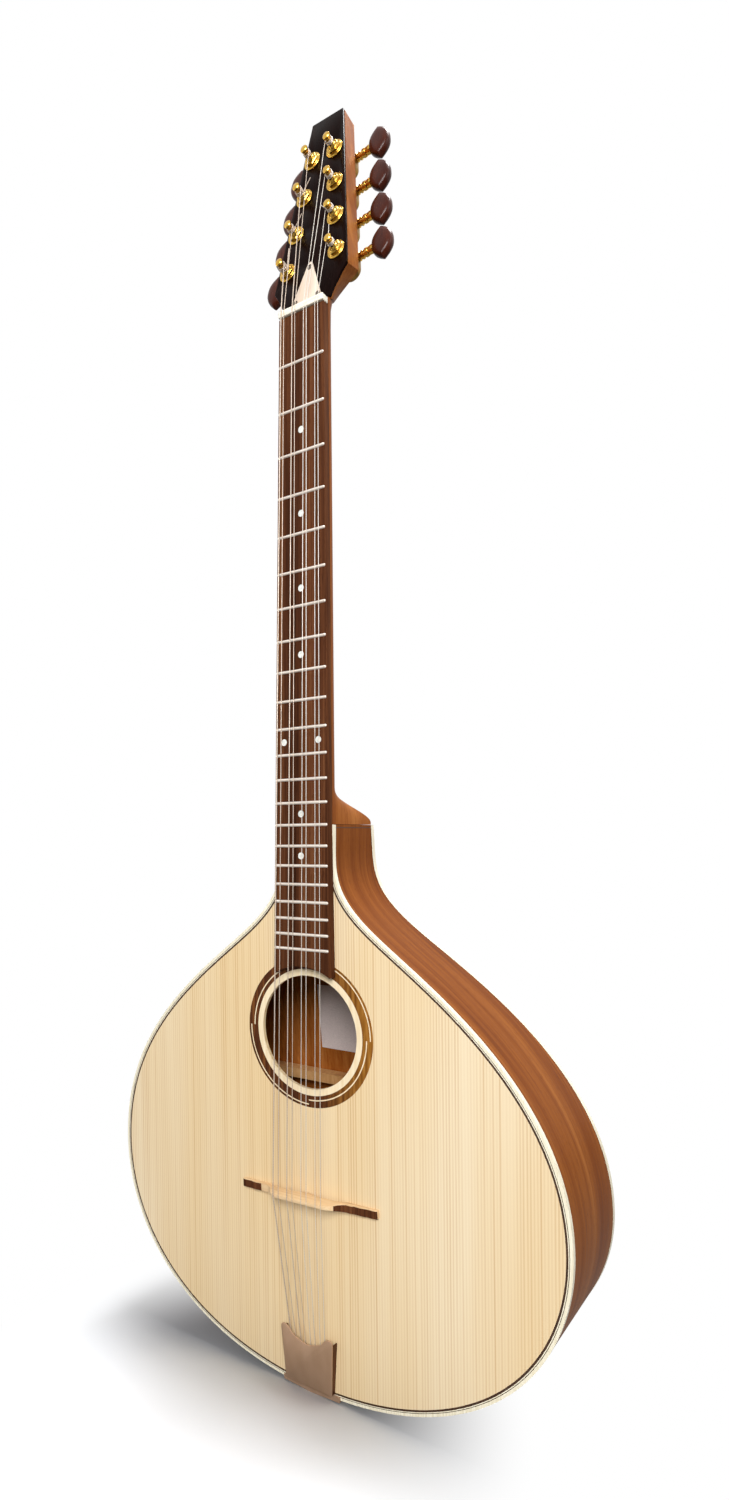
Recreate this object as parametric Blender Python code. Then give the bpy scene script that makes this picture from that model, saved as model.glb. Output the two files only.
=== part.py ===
"""A flat-topped, eight-string lute of the tres and bouzouki family, built piece by piece.

The body stands on its tail: +Z runs up the neck, the top faces -Y and x = 0 is the centre line.
Sizes are in metres. Run with: blender --background --python part.py
"""

import bmesh
import bpy
from math import atan2, cos, pi, radians, sin, tan
from mathutils import Matrix, Vector

# Clearance between glued or seated pieces
GAP = 0.0003

# Strings and frets
SCALE_LENGTH = 0.650
FRETS = 22
BODY_FRET = 15
STRING_RADII = (0.00045, 0.00030, 0.00038, 0.00026, 0.00026, 0.00026, 0.00023, 0.00023)
NUT_COURSES = (0.0151, 0.0051)
NUT_PAIR = 0.0025
BRIDGE_COURSES = (0.0189, 0.0063)
BRIDGE_PAIR = 0.0047
HOOK_SPACING = 0.0040
FRET_HEIGHT = 0.0010
FRET_WIDTH = 0.0024

# Body: the outline's heights are shares of its length, and its fullnesses of what they follow
BODY_LENGTH = 0.4196
BODY_HALF_WIDTH = 0.1945
WIDEST_HEIGHT = 0.3618 * BODY_LENGTH
TAIL_FULLNESS = 0.6375 * BODY_HALF_WIDTH
LOWER_FULLNESS = 0.1930 * BODY_LENGTH
UPPER_FULLNESS = 0.2395 * BODY_LENGTH
SHOULDER_HALF_WIDTH = 0.0556
SHOULDER_HEIGHT = 0.8139 * BODY_LENGTH
SHOULDER_SLOPE = 38.7
SHOULDER_BELOW = 0.1294 * BODY_LENGTH
SHOULDER_ABOVE = 0.1156 * BODY_LENGTH
NECK_FLARE = 0.0782 * BODY_LENGTH
JOINT_HALF_WIDTH = 0.0240
JOINT_DEPTH = 0.0570
TAIL_DEPTH = 0.1100
TOP_THICKNESS = 0.0028
BACK_THICKNESS = 0.0028
SIDE_THICKNESS = 0.0022
BINDING_WIDTH = 0.0020
BINDING_HEIGHT = 0.0037
LINING_WIDTH = 0.0060
LINING_HEIGHT = 0.0120
NECK_BLOCK_LENGTH = 0.0500
TAIL_BLOCK_HALF_WIDTH = 0.0350
TAIL_BLOCK_LENGTH = 0.0200
OUTLINE_STEPS = 12

# Sound hole and its inlaid rings, measured down from the neck joint
HOLE_BELOW_JOINT = 0.3649 * BODY_LENGTH
HOLE_RADIUS = 0.04205
LIGHT_RING_RADIUS = 0.04684
ROSETTE_RADIUS = 0.0556
ROSETTE_DEPTH = 0.0012
ROUND_STEPS = 40

# Braces: distance below the joint as a share of the body's length
TOP_BRACE_SHARES = {"upper": 0.198, "middle": 0.534, "lower": 0.786}
BACK_BRACE_SHARES = {"upper": 0.238, "middle": 0.498, "lower": 0.763}
BRACE_WIDTH = 0.0080
BRACE_HEIGHT = 0.0120
BRACE_END = 0.0040
BRACE_TAPER = 0.0350

# Neck and fingerboard
NECK_ANGLE = 1.2
FINGERBOARD_THICKNESS = 0.0060
NUT_HALF_WIDTH = 0.01994
LAST_FRET_HALF_WIDTH = 0.02439
NECK_DEPTH_AT_NUT = 0.0135
NECK_DEPTH_AT_HEEL = 0.0155
HEEL_TOP = 0.0270
HEEL_SWEEP = 0.0240
HEEL_SQUARENESS = 0.9
HEEL_STATIONS = (0.0003, 0.0030, 0.0060, 0.0100, 0.0130, 0.0160, 0.0210, 0.0270)
NECK_SIDE_POINTS = 12
VOLUTE = 0.0020
NUT_LEDGE = -0.0005
ROD_RADIUS = 0.0025
ROD_FROM_NUT = 0.0040
ROD_FROM_JOINT = 0.0127

# Nut
NUT_LENGTH = 0.0050
NUT_RISE = 0.0008
NUT_ROUNDING = 0.0012

# Headstock
HEAD_ANGLE = 10.0
HEAD_SET_BACK = 0.0069
HEAD_LENGTH = 0.1700
HEAD_TIP_HALF_WIDTH = 0.0140
HEAD_WIDE_HALF_WIDTH = 0.0326
HEAD_WIDE_AT = 0.0299
HEAD_THICKNESS = 0.0135
OVERLAY_THICKNESS = 0.0020
HEAD_FLARE_FROM = 0.0030
HEAD_FLARE_POWER = 1.5
HEAD_FLARE_STATIONS = (0.4, 0.6, 0.8)
COVER_BASE_AT = 0.0085
COVER_TIP_AT = 0.0430
COVER_HALF_WIDTH = 0.0140
COVER_TIP_RADIUS = 0.0022
COVER_THICKNESS = 0.0012

# Tuners: place of each pair of posts on the headstock (distance up, half spacing)
TUNER_HEIGHTS = (0.0440, 0.0744, 0.1048, 0.1357)
TUNER_HALF_SPACING = (0.0218, 0.0177, 0.0138, 0.0101)
RUNNING_GAP = 0.0003
WORM_RADIUS = 0.0022
SHAFT_RADIUS = 0.0017
GEAR_RADIUS = 0.0048
GEAR_TEETH = 14
GEAR_THICKNESS = 0.0036
HOUSING_WALL = 0.0020
SLEEVE_WALL = 0.0011
WASHER_RIM = 0.0017
WASHER_THICKNESS = 0.0009
HEX_RIM = 0.0010
HEX_HEIGHT = 0.0017
POST_RADIUS = 0.0030
POST_WAIST = 0.0021
POST_FLARE = 0.0012
POST_TOP = 0.0128
POST_CAP = 0.0020
WIND_TURNS = 3
WIND_STEPS = 10
WIND_PITCH_GAP = 0.00045
BUTTON_FROM_POST = 0.0190
BUTTON_LENGTH = 0.0172
BUTTON_HEIGHT = 0.0268
BUTTON_THICKNESS = 0.0088
COLLAR_WALL = 0.0012
FERRULE_LENGTH = 0.0030

# Bridge: right half seen from the nut, as (distance from its middle, height)
BRIDGE_HEIGHT = 0.0144
BRIDGE_SHAPE = (
    (0.0000, 0.0144),
    (0.0195, 0.0143),
    (0.0240, 0.0136),
    (0.0268, 0.0118),
    (0.0285, 0.0092),
    (0.0300, 0.0070),
    (0.0318, 0.0056),
    (0.0335, 0.0044),
    (0.0355, 0.0035),
    (0.0380, 0.0037),
    (0.0405, 0.0035),
    (0.0420, 0.0028),
    (0.0445, 0.0030),
    (0.0470, 0.0031),
    (0.0500, 0.0028),
    (0.0520, 0.0023),
    (0.0560, 0.0025),
    (0.0590, 0.0024),
    (0.0604, 0.0018),
    (0.0608, 0.0008),
)
BRIDGE_FOOT = 0.0060
BRIDGE_RIDGE = 0.0026
BRIDGE_LEAN = 0.0004
BRIDGE_WING_HEIGHT = 0.0030
BRIDGE_SLANT = 2.0
BRIDGE_SETBACK = 0.0025
BRIDGE_OFFSET = -0.0016
ARCH_MIDDLE = 0.0185
ARCH_HALF = 0.0155
ARCH_HEIGHT = 0.0028

# Tailpiece: the cover's right half is (distance from its middle, height above the body's tail)
COVER_WALL = 0.0010
COVER_FROM = 0.0046
COVER_EARS = 0.0466
COVER_LOW_HEIGHT = 0.0050
COVER_HIGH_HEIGHT = 0.0075
COVER_SHAPE = (
    (0.0000, 0.0367),
    (0.0062, 0.0382),
    (0.0118, 0.0403),
    (0.0130, 0.0413),
    (0.0152, 0.0440),
    (0.0178, 0.0460),
    (0.0205, 0.0466),
    (0.0222, 0.0458),
    (0.0230, 0.0436),
    (0.0205, 0.0046),
)
BRACKET_THICKNESS = 0.0012
BRACKET_DROP = 0.0300
BRACKET_HALF = 0.0250
BRACKET_BEND = 0.0035
TONGUE_HALF = 0.0183
TONGUE_TOP = 0.0240
HOOK_HEIGHT_ON_BODY = 0.0180
HOOK_SIZE = 0.0016
HOOK_LENGTH = 0.0032
STRING_ON_HOOK = 0.0012

# Sizes that follow
SLEEVE_RADIUS = POST_RADIUS + RUNNING_GAP + SLEEVE_WALL
HEX_RADIUS = SLEEVE_RADIUS + HEX_RIM
WASHER_RADIUS = HEX_RADIUS + WASHER_RIM
COLLAR_RADIUS = SHAFT_RADIUS + RUNNING_GAP + COLLAR_WALL
WORM_OFFSET = GEAR_RADIUS + WORM_RADIUS + RUNNING_GAP
WORM_HALF_LENGTH = GEAR_RADIUS * 0.75
HOUSING_THICKNESS = 2 * (WORM_RADIUS + RUNNING_GAP + HOUSING_WALL)
HOUSING_HALF_WIDTH = GEAR_RADIUS + RUNNING_GAP + HOUSING_WALL
HOUSING_TOP = WORM_OFFSET + WORM_RADIUS + RUNNING_GAP + HOUSING_WALL
BODY_FLOOR = BRACKET_THICKNESS + GAP
JOINT_Z = BODY_FLOOR + BODY_LENGTH
TOP_Y = -(TAIL_DEPTH - BRIDGE_HEIGHT - 2 * GAP - 2 * max(STRING_RADII)) / 2
TAPER = (TAIL_DEPTH - JOINT_DEPTH) / BODY_LENGTH
FRET_PLANE_RISE = FINGERBOARD_THICKNESS + FRET_HEIGHT

WOOD_LIGHT = ("spruce", (0.80, 0.62, 0.38), 0.45, 0.0)
WOOD_RED = ("mahogany", (0.33, 0.13, 0.06), 0.35, 0.0)
WOOD_DARK = ("rosewood", (0.09, 0.035, 0.02), 0.35, 0.0)
WOOD_PALE = ("maple", (0.75, 0.55, 0.35), 0.4, 0.0)
CREAM = ("cream binding", (0.85, 0.78, 0.6), 0.35, 0.0)
BONE = ("bone", (0.85, 0.83, 0.75), 0.3, 0.0)
GOLD = ("gold plate", (0.83, 0.55, 0.16), 0.2, 1.0)
STEEL = ("string steel", (0.6, 0.58, 0.55), 0.3, 1.0)
BRONZE = ("bronze cover", (0.3, 0.2, 0.13), 0.35, 1.0)
BUTTON_WOOD = ("button rosewood", (0.1, 0.03, 0.02), 0.2, 0.0)


def clear_scene():
    for thing in list(bpy.data.objects):
        bpy.data.objects.remove(thing, do_unlink=True)


clear_scene()
PARTS = bpy.data.collections.new("eight_string_lute")
CUTTERS = bpy.data.collections.new("cutters")
bpy.context.scene.collection.children.link(PARTS)
bpy.context.scene.collection.children.link(CUTTERS)


def material_of(finish):
    name, colour, roughness, metallic = finish
    found = bpy.data.materials.get(name)
    if found:
        return found
    made = bpy.data.materials.new(name)
    made.use_nodes = True
    shader = made.node_tree.nodes["Principled BSDF"]
    shader.inputs["Base Color"].default_value = (*colour, 1.0)
    shader.inputs["Roughness"].default_value = roughness
    shader.inputs["Metallic"].default_value = metallic
    return made


def finished(name, bm, finish, matrix=None, cutter=False, smooth=False):
    """Turns a bmesh into an object, a part or a cutter, with its faces pointing out."""
    bmesh.ops.remove_doubles(bm, verts=bm.verts, dist=1e-7)
    bmesh.ops.recalc_face_normals(bm, faces=bm.faces)
    mesh = bpy.data.meshes.new(name)
    bm.to_mesh(mesh)
    bm.free()
    if smooth:
        mesh.shade_smooth()
        mesh.set_sharp_from_angle(angle=radians(35))
    thing = bpy.data.objects.new(name, mesh)
    if matrix is not None:
        thing.matrix_world = matrix
    if cutter:
        CUTTERS.objects.link(thing)
        thing.hide_render = True
        thing.display_type = "WIRE"
    else:
        PARTS.objects.link(thing)
        mesh.materials.append(material_of(finish))
    return thing


def combine(thing, other, operation):
    step = thing.modifiers.new(operation.lower(), "BOOLEAN")
    step.operation = operation
    step.object = other
    return step


def slab(bm, corners, direction):
    """Adds a prism: the corners make a face, which is extruded along the direction."""
    face = bm.faces.new([bm.verts.new(corner) for corner in corners])
    made = bmesh.ops.extrude_face_region(bm, geom=[face])
    moved = [item for item in made["geom"] if isinstance(item, bmesh.types.BMVert)]
    bmesh.ops.translate(bm, verts=moved, vec=direction)
    return moved


def cylinder(bm, radius, start, end, steps=16, tip=None):
    """Adds a round bar from start to end; tip is its radius at the end."""
    start, end = Vector(start), Vector(end)
    turn = (end - start).to_track_quat("Z", "Y").to_matrix().to_4x4()
    return bmesh.ops.create_cone(
        bm,
        cap_ends=True,
        segments=steps,
        radius1=radius,
        radius2=radius if tip is None else tip,
        depth=(end - start).length,
        matrix=Matrix.Translation((start + end) / 2) @ turn,
    )


def turned(bm, profile, steps=16):
    """Adds a turned shape about the local Y axis from (radius, y) pairs, closed at both ends."""
    rings = []
    for radius, y in profile:
        rings.append(
            [
                bm.verts.new((radius * cos(2 * pi * k / steps), y, radius * sin(2 * pi * k / steps)))
                for k in range(steps)
            ]
        )
    for low, high in zip(rings, rings[1:]):
        for k in range(steps):
            bm.faces.new((low[k], low[(k + 1) % steps], high[(k + 1) % steps], high[k]))
    bm.faces.new(rings[0])
    bm.faces.new(rings[-1])


def bezier(start, first, second, end, steps):
    points = []
    for k in range(steps):
        t = k / steps
        u = 1 - t
        points.append(start * u**3 + first * 3 * u * u * t + second * 3 * u * t * t + end * t**3)
    return points


def half_outline(inset=0.0):
    """Right half of the body's outline as (x, z) from the tail's middle to the neck joint."""
    slope = Vector((-cos(radians(SHOULDER_SLOPE)), sin(radians(SHOULDER_SLOPE))))
    tail = Vector((0, 0))
    wide = Vector((BODY_HALF_WIDTH, WIDEST_HEIGHT))
    shoulder = Vector((SHOULDER_HALF_WIDTH, SHOULDER_HEIGHT))
    joint = Vector((JOINT_HALF_WIDTH, BODY_LENGTH))
    across, up = Vector((1, 0)), Vector((0, 1))
    points = bezier(tail, tail + across * TAIL_FULLNESS, wide - up * LOWER_FULLNESS, wide, OUTLINE_STEPS)
    points += bezier(
        wide, wide + up * UPPER_FULLNESS, shoulder - slope * SHOULDER_BELOW, shoulder, OUTLINE_STEPS
    )
    points += bezier(
        shoulder, shoulder + slope * SHOULDER_ABOVE, joint - up * NECK_FLARE, joint, OUTLINE_STEPS
    )
    points.append(joint)
    moved = []
    for k, point in enumerate(points):
        before = points[max(k - 1, 0)]
        after = points[min(k + 1, len(points) - 1)]
        along = across if k == 0 else (after - before).normalized()
        if k == len(points) - 1:
            along = up
        moved.append(point + Vector((-along.y, along.x)) * inset)
    return [(p.x, p.y + BODY_FLOOR) for p in moved]


def half_width_at(z, inset):
    """Half of the inset outline's width at a height."""
    points = half_outline(inset)
    widths = []
    for (x0, z0), (x1, z1) in zip(points, points[1:]):
        if z0 != z1 and min(z0, z1) <= z <= max(z0, z1):
            widths.append(x0 + (x1 - x0) * (z - z0) / (z1 - z0))
    return max(widths) if widths else 0.0


def back_y(z):
    """The back's outer plane: the body is deeper at the tail than at the neck."""
    return TOP_Y + JOINT_DEPTH + TAPER * (JOINT_Z - z)


def plate(name, outline, front, back, finish, **options):
    """A plate with this (x, z) outline between two planes given as functions of z."""
    bm = bmesh.new()
    moved = slab(bm, [(x, front(z), z) for x, z in outline], (0, 0.001, 0))
    for vert in moved:
        vert.co.y = back(vert.co.z)
    return finished(name, bm, finish, **options)


def whole_outline(inset, top_inset=None):
    right = half_outline(inset)
    if top_inset:
        x, z = right[-1]
        right[-1] = (x, z - top_inset)
    return right + [(-x, z) for x, z in reversed(right[1:])]


def strip(inset_out, inset_in, keep):
    """A band of the right half of the outline between two insets, where keep(x, z) holds."""
    outer = [p for p in half_outline(inset_out) if keep(*p)]
    inner = [p for p in half_outline(inset_in) if keep(*p)]
    return outer + inner[::-1]


def mirrored(points):
    return [(-x, z) for x, z in reversed(points)]


def level(y):
    return lambda z: TOP_Y + y


def below_back(depth):
    return lambda z: back_y(z) - depth


def hole_cylinder(name, radius, y_start, y_end, steps=ROUND_STEPS):
    bm = bmesh.new()
    z = JOINT_Z - HOLE_BELOW_JOINT
    cylinder(bm, radius, (0, TOP_Y + y_start, z), (0, TOP_Y + y_end, z), steps)
    return finished(name, bm, None, cutter=True)


def build_body():
    rim = BINDING_WIDTH + GAP
    inside = SIDE_THICKNESS + GAP
    lining_in = inside + LINING_WIDTH
    under_top = TOP_THICKNESS + GAP
    over_back = BACK_THICKNESS + GAP
    soundboard = plate(
        "soundboard", whole_outline(rim, GAP), level(0), level(TOP_THICKNESS), WOOD_LIGHT
    )
    combine(soundboard, hole_cylinder("cut_hole", HOLE_RADIUS, -0.01, 0.01), "DIFFERENCE")
    recess = hole_cylinder("cut_recess", ROSETTE_RADIUS + GAP, -0.01, ROSETTE_DEPTH + GAP)
    combine(soundboard, recess, "DIFFERENCE")
    plate("back_plate", whole_outline(rim, GAP), below_back(BACK_THICKNESS), back_y, WOOD_RED)

    z = JOINT_Z - HOLE_BELOW_JOINT
    bm = bmesh.new()
    cylinder(bm, ROSETTE_RADIUS, (0, TOP_Y, z), (0, TOP_Y + ROSETTE_DEPTH, z), ROUND_STEPS)
    rosette = finished("rosette", bm, WOOD_DARK)
    combine(rosette, hole_cylinder("cut_rosette", HOLE_RADIUS, -0.01, 0.01), "DIFFERENCE")

    def band_end(x, z):
        return True

    for side, turn in (("right", list), ("left", mirrored)):
        wall = [(max(x, GAP / 2), z) for x, z in strip(0.0, SIDE_THICKNESS, band_end)]
        plate(
            "side_" + side,
            turn(wall),
            level(BINDING_HEIGHT + GAP),
            below_back(BINDING_HEIGHT + GAP),
            WOOD_RED,
        )

        def lined_back(x, z):
            past_tail_block = x > TAIL_BLOCK_HALF_WIDTH + GAP or z > JOINT_Z / 2
            return past_tail_block and z < JOINT_Z - NECK_BLOCK_LENGTH - 2 * GAP

        band = strip(inside, lining_in, lined_back)
        plate("lining_front_" + side, turn(band), level(under_top), level(under_top + LINING_HEIGHT), WOOD_PALE)
        plate(
            "lining_back_" + side,
            turn(band),
            below_back(over_back + LINING_HEIGHT),
            below_back(over_back),
            WOOD_PALE,
        )

    outer = half_outline(0.0)
    inner = half_outline(BINDING_WIDTH)
    ring = [(x, z) for x, z in outer[::-1]] + [(-x, z) for x, z in outer[1:]]
    ring += [(-x, z) for x, z in inner[::-1]] + [(x, z) for x, z in inner[1:]]
    plate("binding_front", ring, level(0), level(BINDING_HEIGHT), CREAM)
    plate("binding_back", ring, below_back(BINDING_HEIGHT), back_y, CREAM)

    neck_end = [(x, z) for x, z in half_outline(inside) if z > JOINT_Z - NECK_BLOCK_LENGTH]
    edge = half_width_at(JOINT_Z - NECK_BLOCK_LENGTH, inside)
    half_block = [(edge, JOINT_Z - NECK_BLOCK_LENGTH)] + neck_end
    half_block[-1] = (half_block[-1][0], JOINT_Z - GAP)
    block = half_block + [(-x, z) for x, z in reversed(half_block)]
    plate("neck_block", block, level(under_top), below_back(over_back), WOOD_PALE)

    tail_end = [(x, z) for x, z in half_outline(inside) if x < TAIL_BLOCK_HALF_WIDTH and z < JOINT_Z / 2]
    corner = (TAIL_BLOCK_HALF_WIDTH, tail_end[-1][1] + 0.001)
    top = BODY_FLOOR + inside + TAIL_BLOCK_LENGTH
    half_block = tail_end + [corner, (TAIL_BLOCK_HALF_WIDTH, top)]
    block = half_block + [(-x, z) for x, z in reversed(half_block[1:])]
    plate("tail_block", block, level(under_top), below_back(over_back), WOOD_PALE)


def build_braces():
    clear = SIDE_THICKNESS + LINING_WIDTH + 2 * GAP + GAP
    for group, places in (("top", TOP_BRACE_SHARES), ("back", BACK_BRACE_SHARES)):
        for name, below in places.items():
            z = JOINT_Z - below * BODY_LENGTH
            reach = min(half_width_at(z + s * BRACE_WIDTH / 2, clear) for s in (-1, 1))
            profile = [
                (-reach, 0),
                (reach, 0),
                (reach, BRACE_END),
                (reach - BRACE_TAPER, BRACE_HEIGHT),
                (-reach + BRACE_TAPER, BRACE_HEIGHT),
                (-reach, BRACE_END),
            ]
            bm = bmesh.new()
            slab(bm, [(x, h, z - BRACE_WIDTH / 2) for x, h in profile], (0, 0, BRACE_WIDTH))
            for vert in bm.verts:
                if group == "top":
                    vert.co.y = TOP_Y + TOP_THICKNESS + GAP + vert.co.y
                else:
                    vert.co.y = back_y(vert.co.z) - BACK_THICKNESS - GAP - vert.co.y
            finished("brace_%s_%s" % (group, name), bm, WOOD_PALE)


# The neck's frame: x across, y into the wood from the fret tops, z up from the nut
def fret_z(number):
    return -SCALE_LENGTH * (1 - 2 ** (-number / 12))


def leaning(angle):
    return Matrix.Rotation(-radians(angle), 4, "X")


NECK_LEAN = leaning(NECK_ANGLE)
JOINT_TO_NUT = NECK_LEAN @ Vector((0, -FRET_PLANE_RISE, -fret_z(BODY_FRET)))
NECK = Matrix.Translation(Vector((0, TOP_Y, JOINT_Z)) + JOINT_TO_NUT) @ NECK_LEAN
HEAD = NECK @ Matrix.Translation((0, HEAD_SET_BACK, 0)) @ leaning(HEAD_ANGLE)
BOARD_BACK = FRET_PLANE_RISE


def board_half_width(z):
    return NUT_HALF_WIDTH + (LAST_FRET_HALF_WIDTH - NUT_HALF_WIDTH) * z / fret_z(FRETS)


def top_plane_in_neck(z):
    """Depth, in the neck's frame, at which the soundboard lies under the fret tops."""
    return FRET_PLANE_RISE + (fret_z(BODY_FRET) - z) * tan(radians(NECK_ANGLE))


def build_fingerboard():
    hole_z = (NECK.inverted() @ Vector((0, TOP_Y, JOINT_Z - HOLE_BELOW_JOINT))).z
    joint = fret_z(BODY_FRET)
    end = hole_z + LIGHT_RING_RADIUS * 0.6
    stations = [
        (-GAP, BOARD_BACK),
        (joint + 0.0001, BOARD_BACK),
        (joint - 0.0010, top_plane_in_neck(joint - 0.0010) - GAP),
        (end, top_plane_in_neck(end) - GAP),
    ]
    bm = bmesh.new()
    rings = []
    for z, back in stations:
        w = board_half_width(z)
        corners = ((-w, FRET_HEIGHT), (w, FRET_HEIGHT), (w, back), (-w, back))
        rings.append([bm.verts.new((x, y, z)) for x, y in corners])
    for low, high in zip(rings, rings[1:]):
        for k in range(4):
            bm.faces.new((low[k], low[(k + 1) % 4], high[(k + 1) % 4], high[k]))
    bm.faces.new(rings[0])
    bm.faces.new(rings[-1])
    bm.transform(NECK)
    board = finished("fingerboard", bm, WOOD_DARK)
    cutter = hole_cylinder("cut_board_end", LIGHT_RING_RADIUS + GAP, -0.02, 0.01)
    combine(board, cutter, "DIFFERENCE")
    bm = bmesh.new()
    for number in range(1, FRETS + 1):
        z = fret_z(number)
        w = board_half_width(z) - 0.0002
        half = FRET_WIDTH / 2
        crown = [
            (half, FRET_HEIGHT + 0.0005),
            (half, FRET_HEIGHT * 0.6),
            (half * 0.5, 0),
            (-half * 0.5, 0),
            (-half, FRET_HEIGHT * 0.6),
            (-half, FRET_HEIGHT + 0.0005),
        ]
        slab(bm, [(-w, y, z + dz) for dz, y in crown], (2 * w, 0, 0))
    bm.transform(NECK)
    frets = finished("add_frets", bm, None, cutter=True)
    combine(board, frets, "UNION")


def neck_ring(half, front, depth, squareness):
    """(x, y) points round the neck's back, edge to edge: an ellipse at squareness 0, a box at 1."""
    points = []
    for k in range(NECK_SIDE_POINTS + 1):
        a = pi * k / NECK_SIDE_POINTS
        c, s = cos(a), sin(a)
        reach = max(abs(c), s)
        across = c + (c / reach - c) * squareness
        deep = s + (s / reach - s) * squareness
        points.append((half * across, front + depth * deep))
    return points


def head_half_width(up):
    """Half of the headstock's width between the nut and its widest place."""
    share = (up - HEAD_FLARE_FROM) / (HEAD_WIDE_AT - HEAD_FLARE_FROM)
    return NUT_HALF_WIDTH + (HEAD_WIDE_HALF_WIDTH - NUT_HALF_WIDTH) * share**HEAD_FLARE_POWER


def neck_rings():
    """The neck's rings from the heel to the headstock's tip, as lists of points in place."""
    joint = fret_z(BODY_FRET)
    face = BOARD_BACK + GAP
    rings = []
    for above in HEEL_STATIONS:
        z = joint + above
        share = min(max((HEEL_TOP - above) / HEEL_SWEEP, 0.0), 1.0)
        swept = share * share * (3 - 2 * share)
        depth = NECK_DEPTH_AT_HEEL + (JOINT_DEPTH - GAP - NECK_DEPTH_AT_HEEL) * swept
        half = min(board_half_width(z), JOINT_HALF_WIDTH)
        ring = neck_ring(half, face, depth, swept * HEEL_SQUARENESS)
        rings.append([NECK @ Vector((x, y, z)) for x, y in ring])
    # The joint's face is square to the body, so the first ring is set on that plane
    for point in rings[0]:
        point.z = JOINT_Z + GAP
    for share in (0.75, 0.5, 0.25, 0.04):
        z = joint * share
        depth = NECK_DEPTH_AT_NUT + (NECK_DEPTH_AT_HEEL - NECK_DEPTH_AT_NUT) * share
        ring = neck_ring(board_half_width(z), face, depth, 0.0)
        rings.append([NECK @ Vector((x, y, z)) for x, y in ring])
    ring = neck_ring(NUT_HALF_WIDTH, face, NECK_DEPTH_AT_NUT + VOLUTE / 2, 0.0)
    rings.append([NECK @ Vector((x, y, 0)) for x, y in ring])
    front = OVERLAY_THICKNESS + GAP
    past_nut = NUT_LENGTH + 2 * GAP
    ledge = NUT_LEDGE
    low, middle, high = [HEAD_WIDE_AT * share for share in HEAD_FLARE_STATIONS]
    on_face = past_nut + 2 * GAP
    # The lower facets slope, so each ring but the tip's climbs towards the back by the last value
    stations = (
        (past_nut, ledge, HEAD_THICKNESS + front - ledge, NUT_HALF_WIDTH, 0.1, 0.0090),
        (on_face, front, HEAD_THICKNESS, head_half_width(on_face), 0.18, 0.0090),
        (low, front, HEAD_THICKNESS, head_half_width(low), 0.50, 0.0090),
        (middle, front, HEAD_THICKNESS, head_half_width(middle), 0.82, 0.0080),
        (high, front, HEAD_THICKNESS, head_half_width(high), 0.95, 0.0065),
        (HEAD_WIDE_AT, front, HEAD_THICKNESS, HEAD_WIDE_HALF_WIDTH, 1.0, 0.0050),
        (HEAD_LENGTH, front, HEAD_THICKNESS, HEAD_TIP_HALF_WIDTH, 1.0, 0.0),
    )
    for up, near, thickness, half, squareness, rise in stations:
        ring = neck_ring(half, near, thickness, squareness)
        rings.append([HEAD @ Vector((x, y, up + rise * (y - near) / thickness)) for x, y in ring])
    return rings


def build_neck():
    bm = bmesh.new()
    rings = [[bm.verts.new(point) for point in ring] for ring in neck_rings()]
    count = NECK_SIDE_POINTS + 1
    for low, high in zip(rings, rings[1:]):
        for k in range(count):
            bm.faces.new((low[k], low[(k + 1) % count], high[(k + 1) % count], high[k]))
    bm.faces.new(rings[0])
    bm.faces.new(rings[-1])
    neck = finished("neck", bm, WOOD_RED, smooth=True)
    for k, (x, z) in enumerate(tuner_places()):
        bm = bmesh.new()
        cylinder(bm, SLEEVE_RADIUS + GAP, (x, -0.01, z), (x, 0.03, z), 16)
        bm.transform(HEAD)
        combine(neck, finished("cut_bore_%d" % k, bm, None, cutter=True), "DIFFERENCE")
    rod_end = fret_z(BODY_FRET) + ROD_FROM_JOINT
    bm = bmesh.new()
    slab(
        bm,
        [
            (-ROD_RADIUS - GAP, BOARD_BACK - 0.002, -ROD_FROM_NUT),
            (ROD_RADIUS + GAP, BOARD_BACK - 0.002, -ROD_FROM_NUT),
            (ROD_RADIUS + GAP, BOARD_BACK + 2 * ROD_RADIUS + 3 * GAP, -ROD_FROM_NUT),
            (-ROD_RADIUS - GAP, BOARD_BACK + 2 * ROD_RADIUS + 3 * GAP, -ROD_FROM_NUT),
        ],
        (0, 0, rod_end + ROD_FROM_NUT - 2 * GAP),
    )
    bm.transform(NECK)
    combine(neck, finished("cut_rod_channel", bm, None, cutter=True), "DIFFERENCE")

    bm = bmesh.new()
    y = BOARD_BACK + GAP + ROD_RADIUS
    cylinder(bm, ROD_RADIUS, (0, y, -ROD_FROM_NUT - GAP), (0, y, rod_end), 10)
    bm.transform(NECK)
    finished("truss_rod", bm, STEEL)


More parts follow.
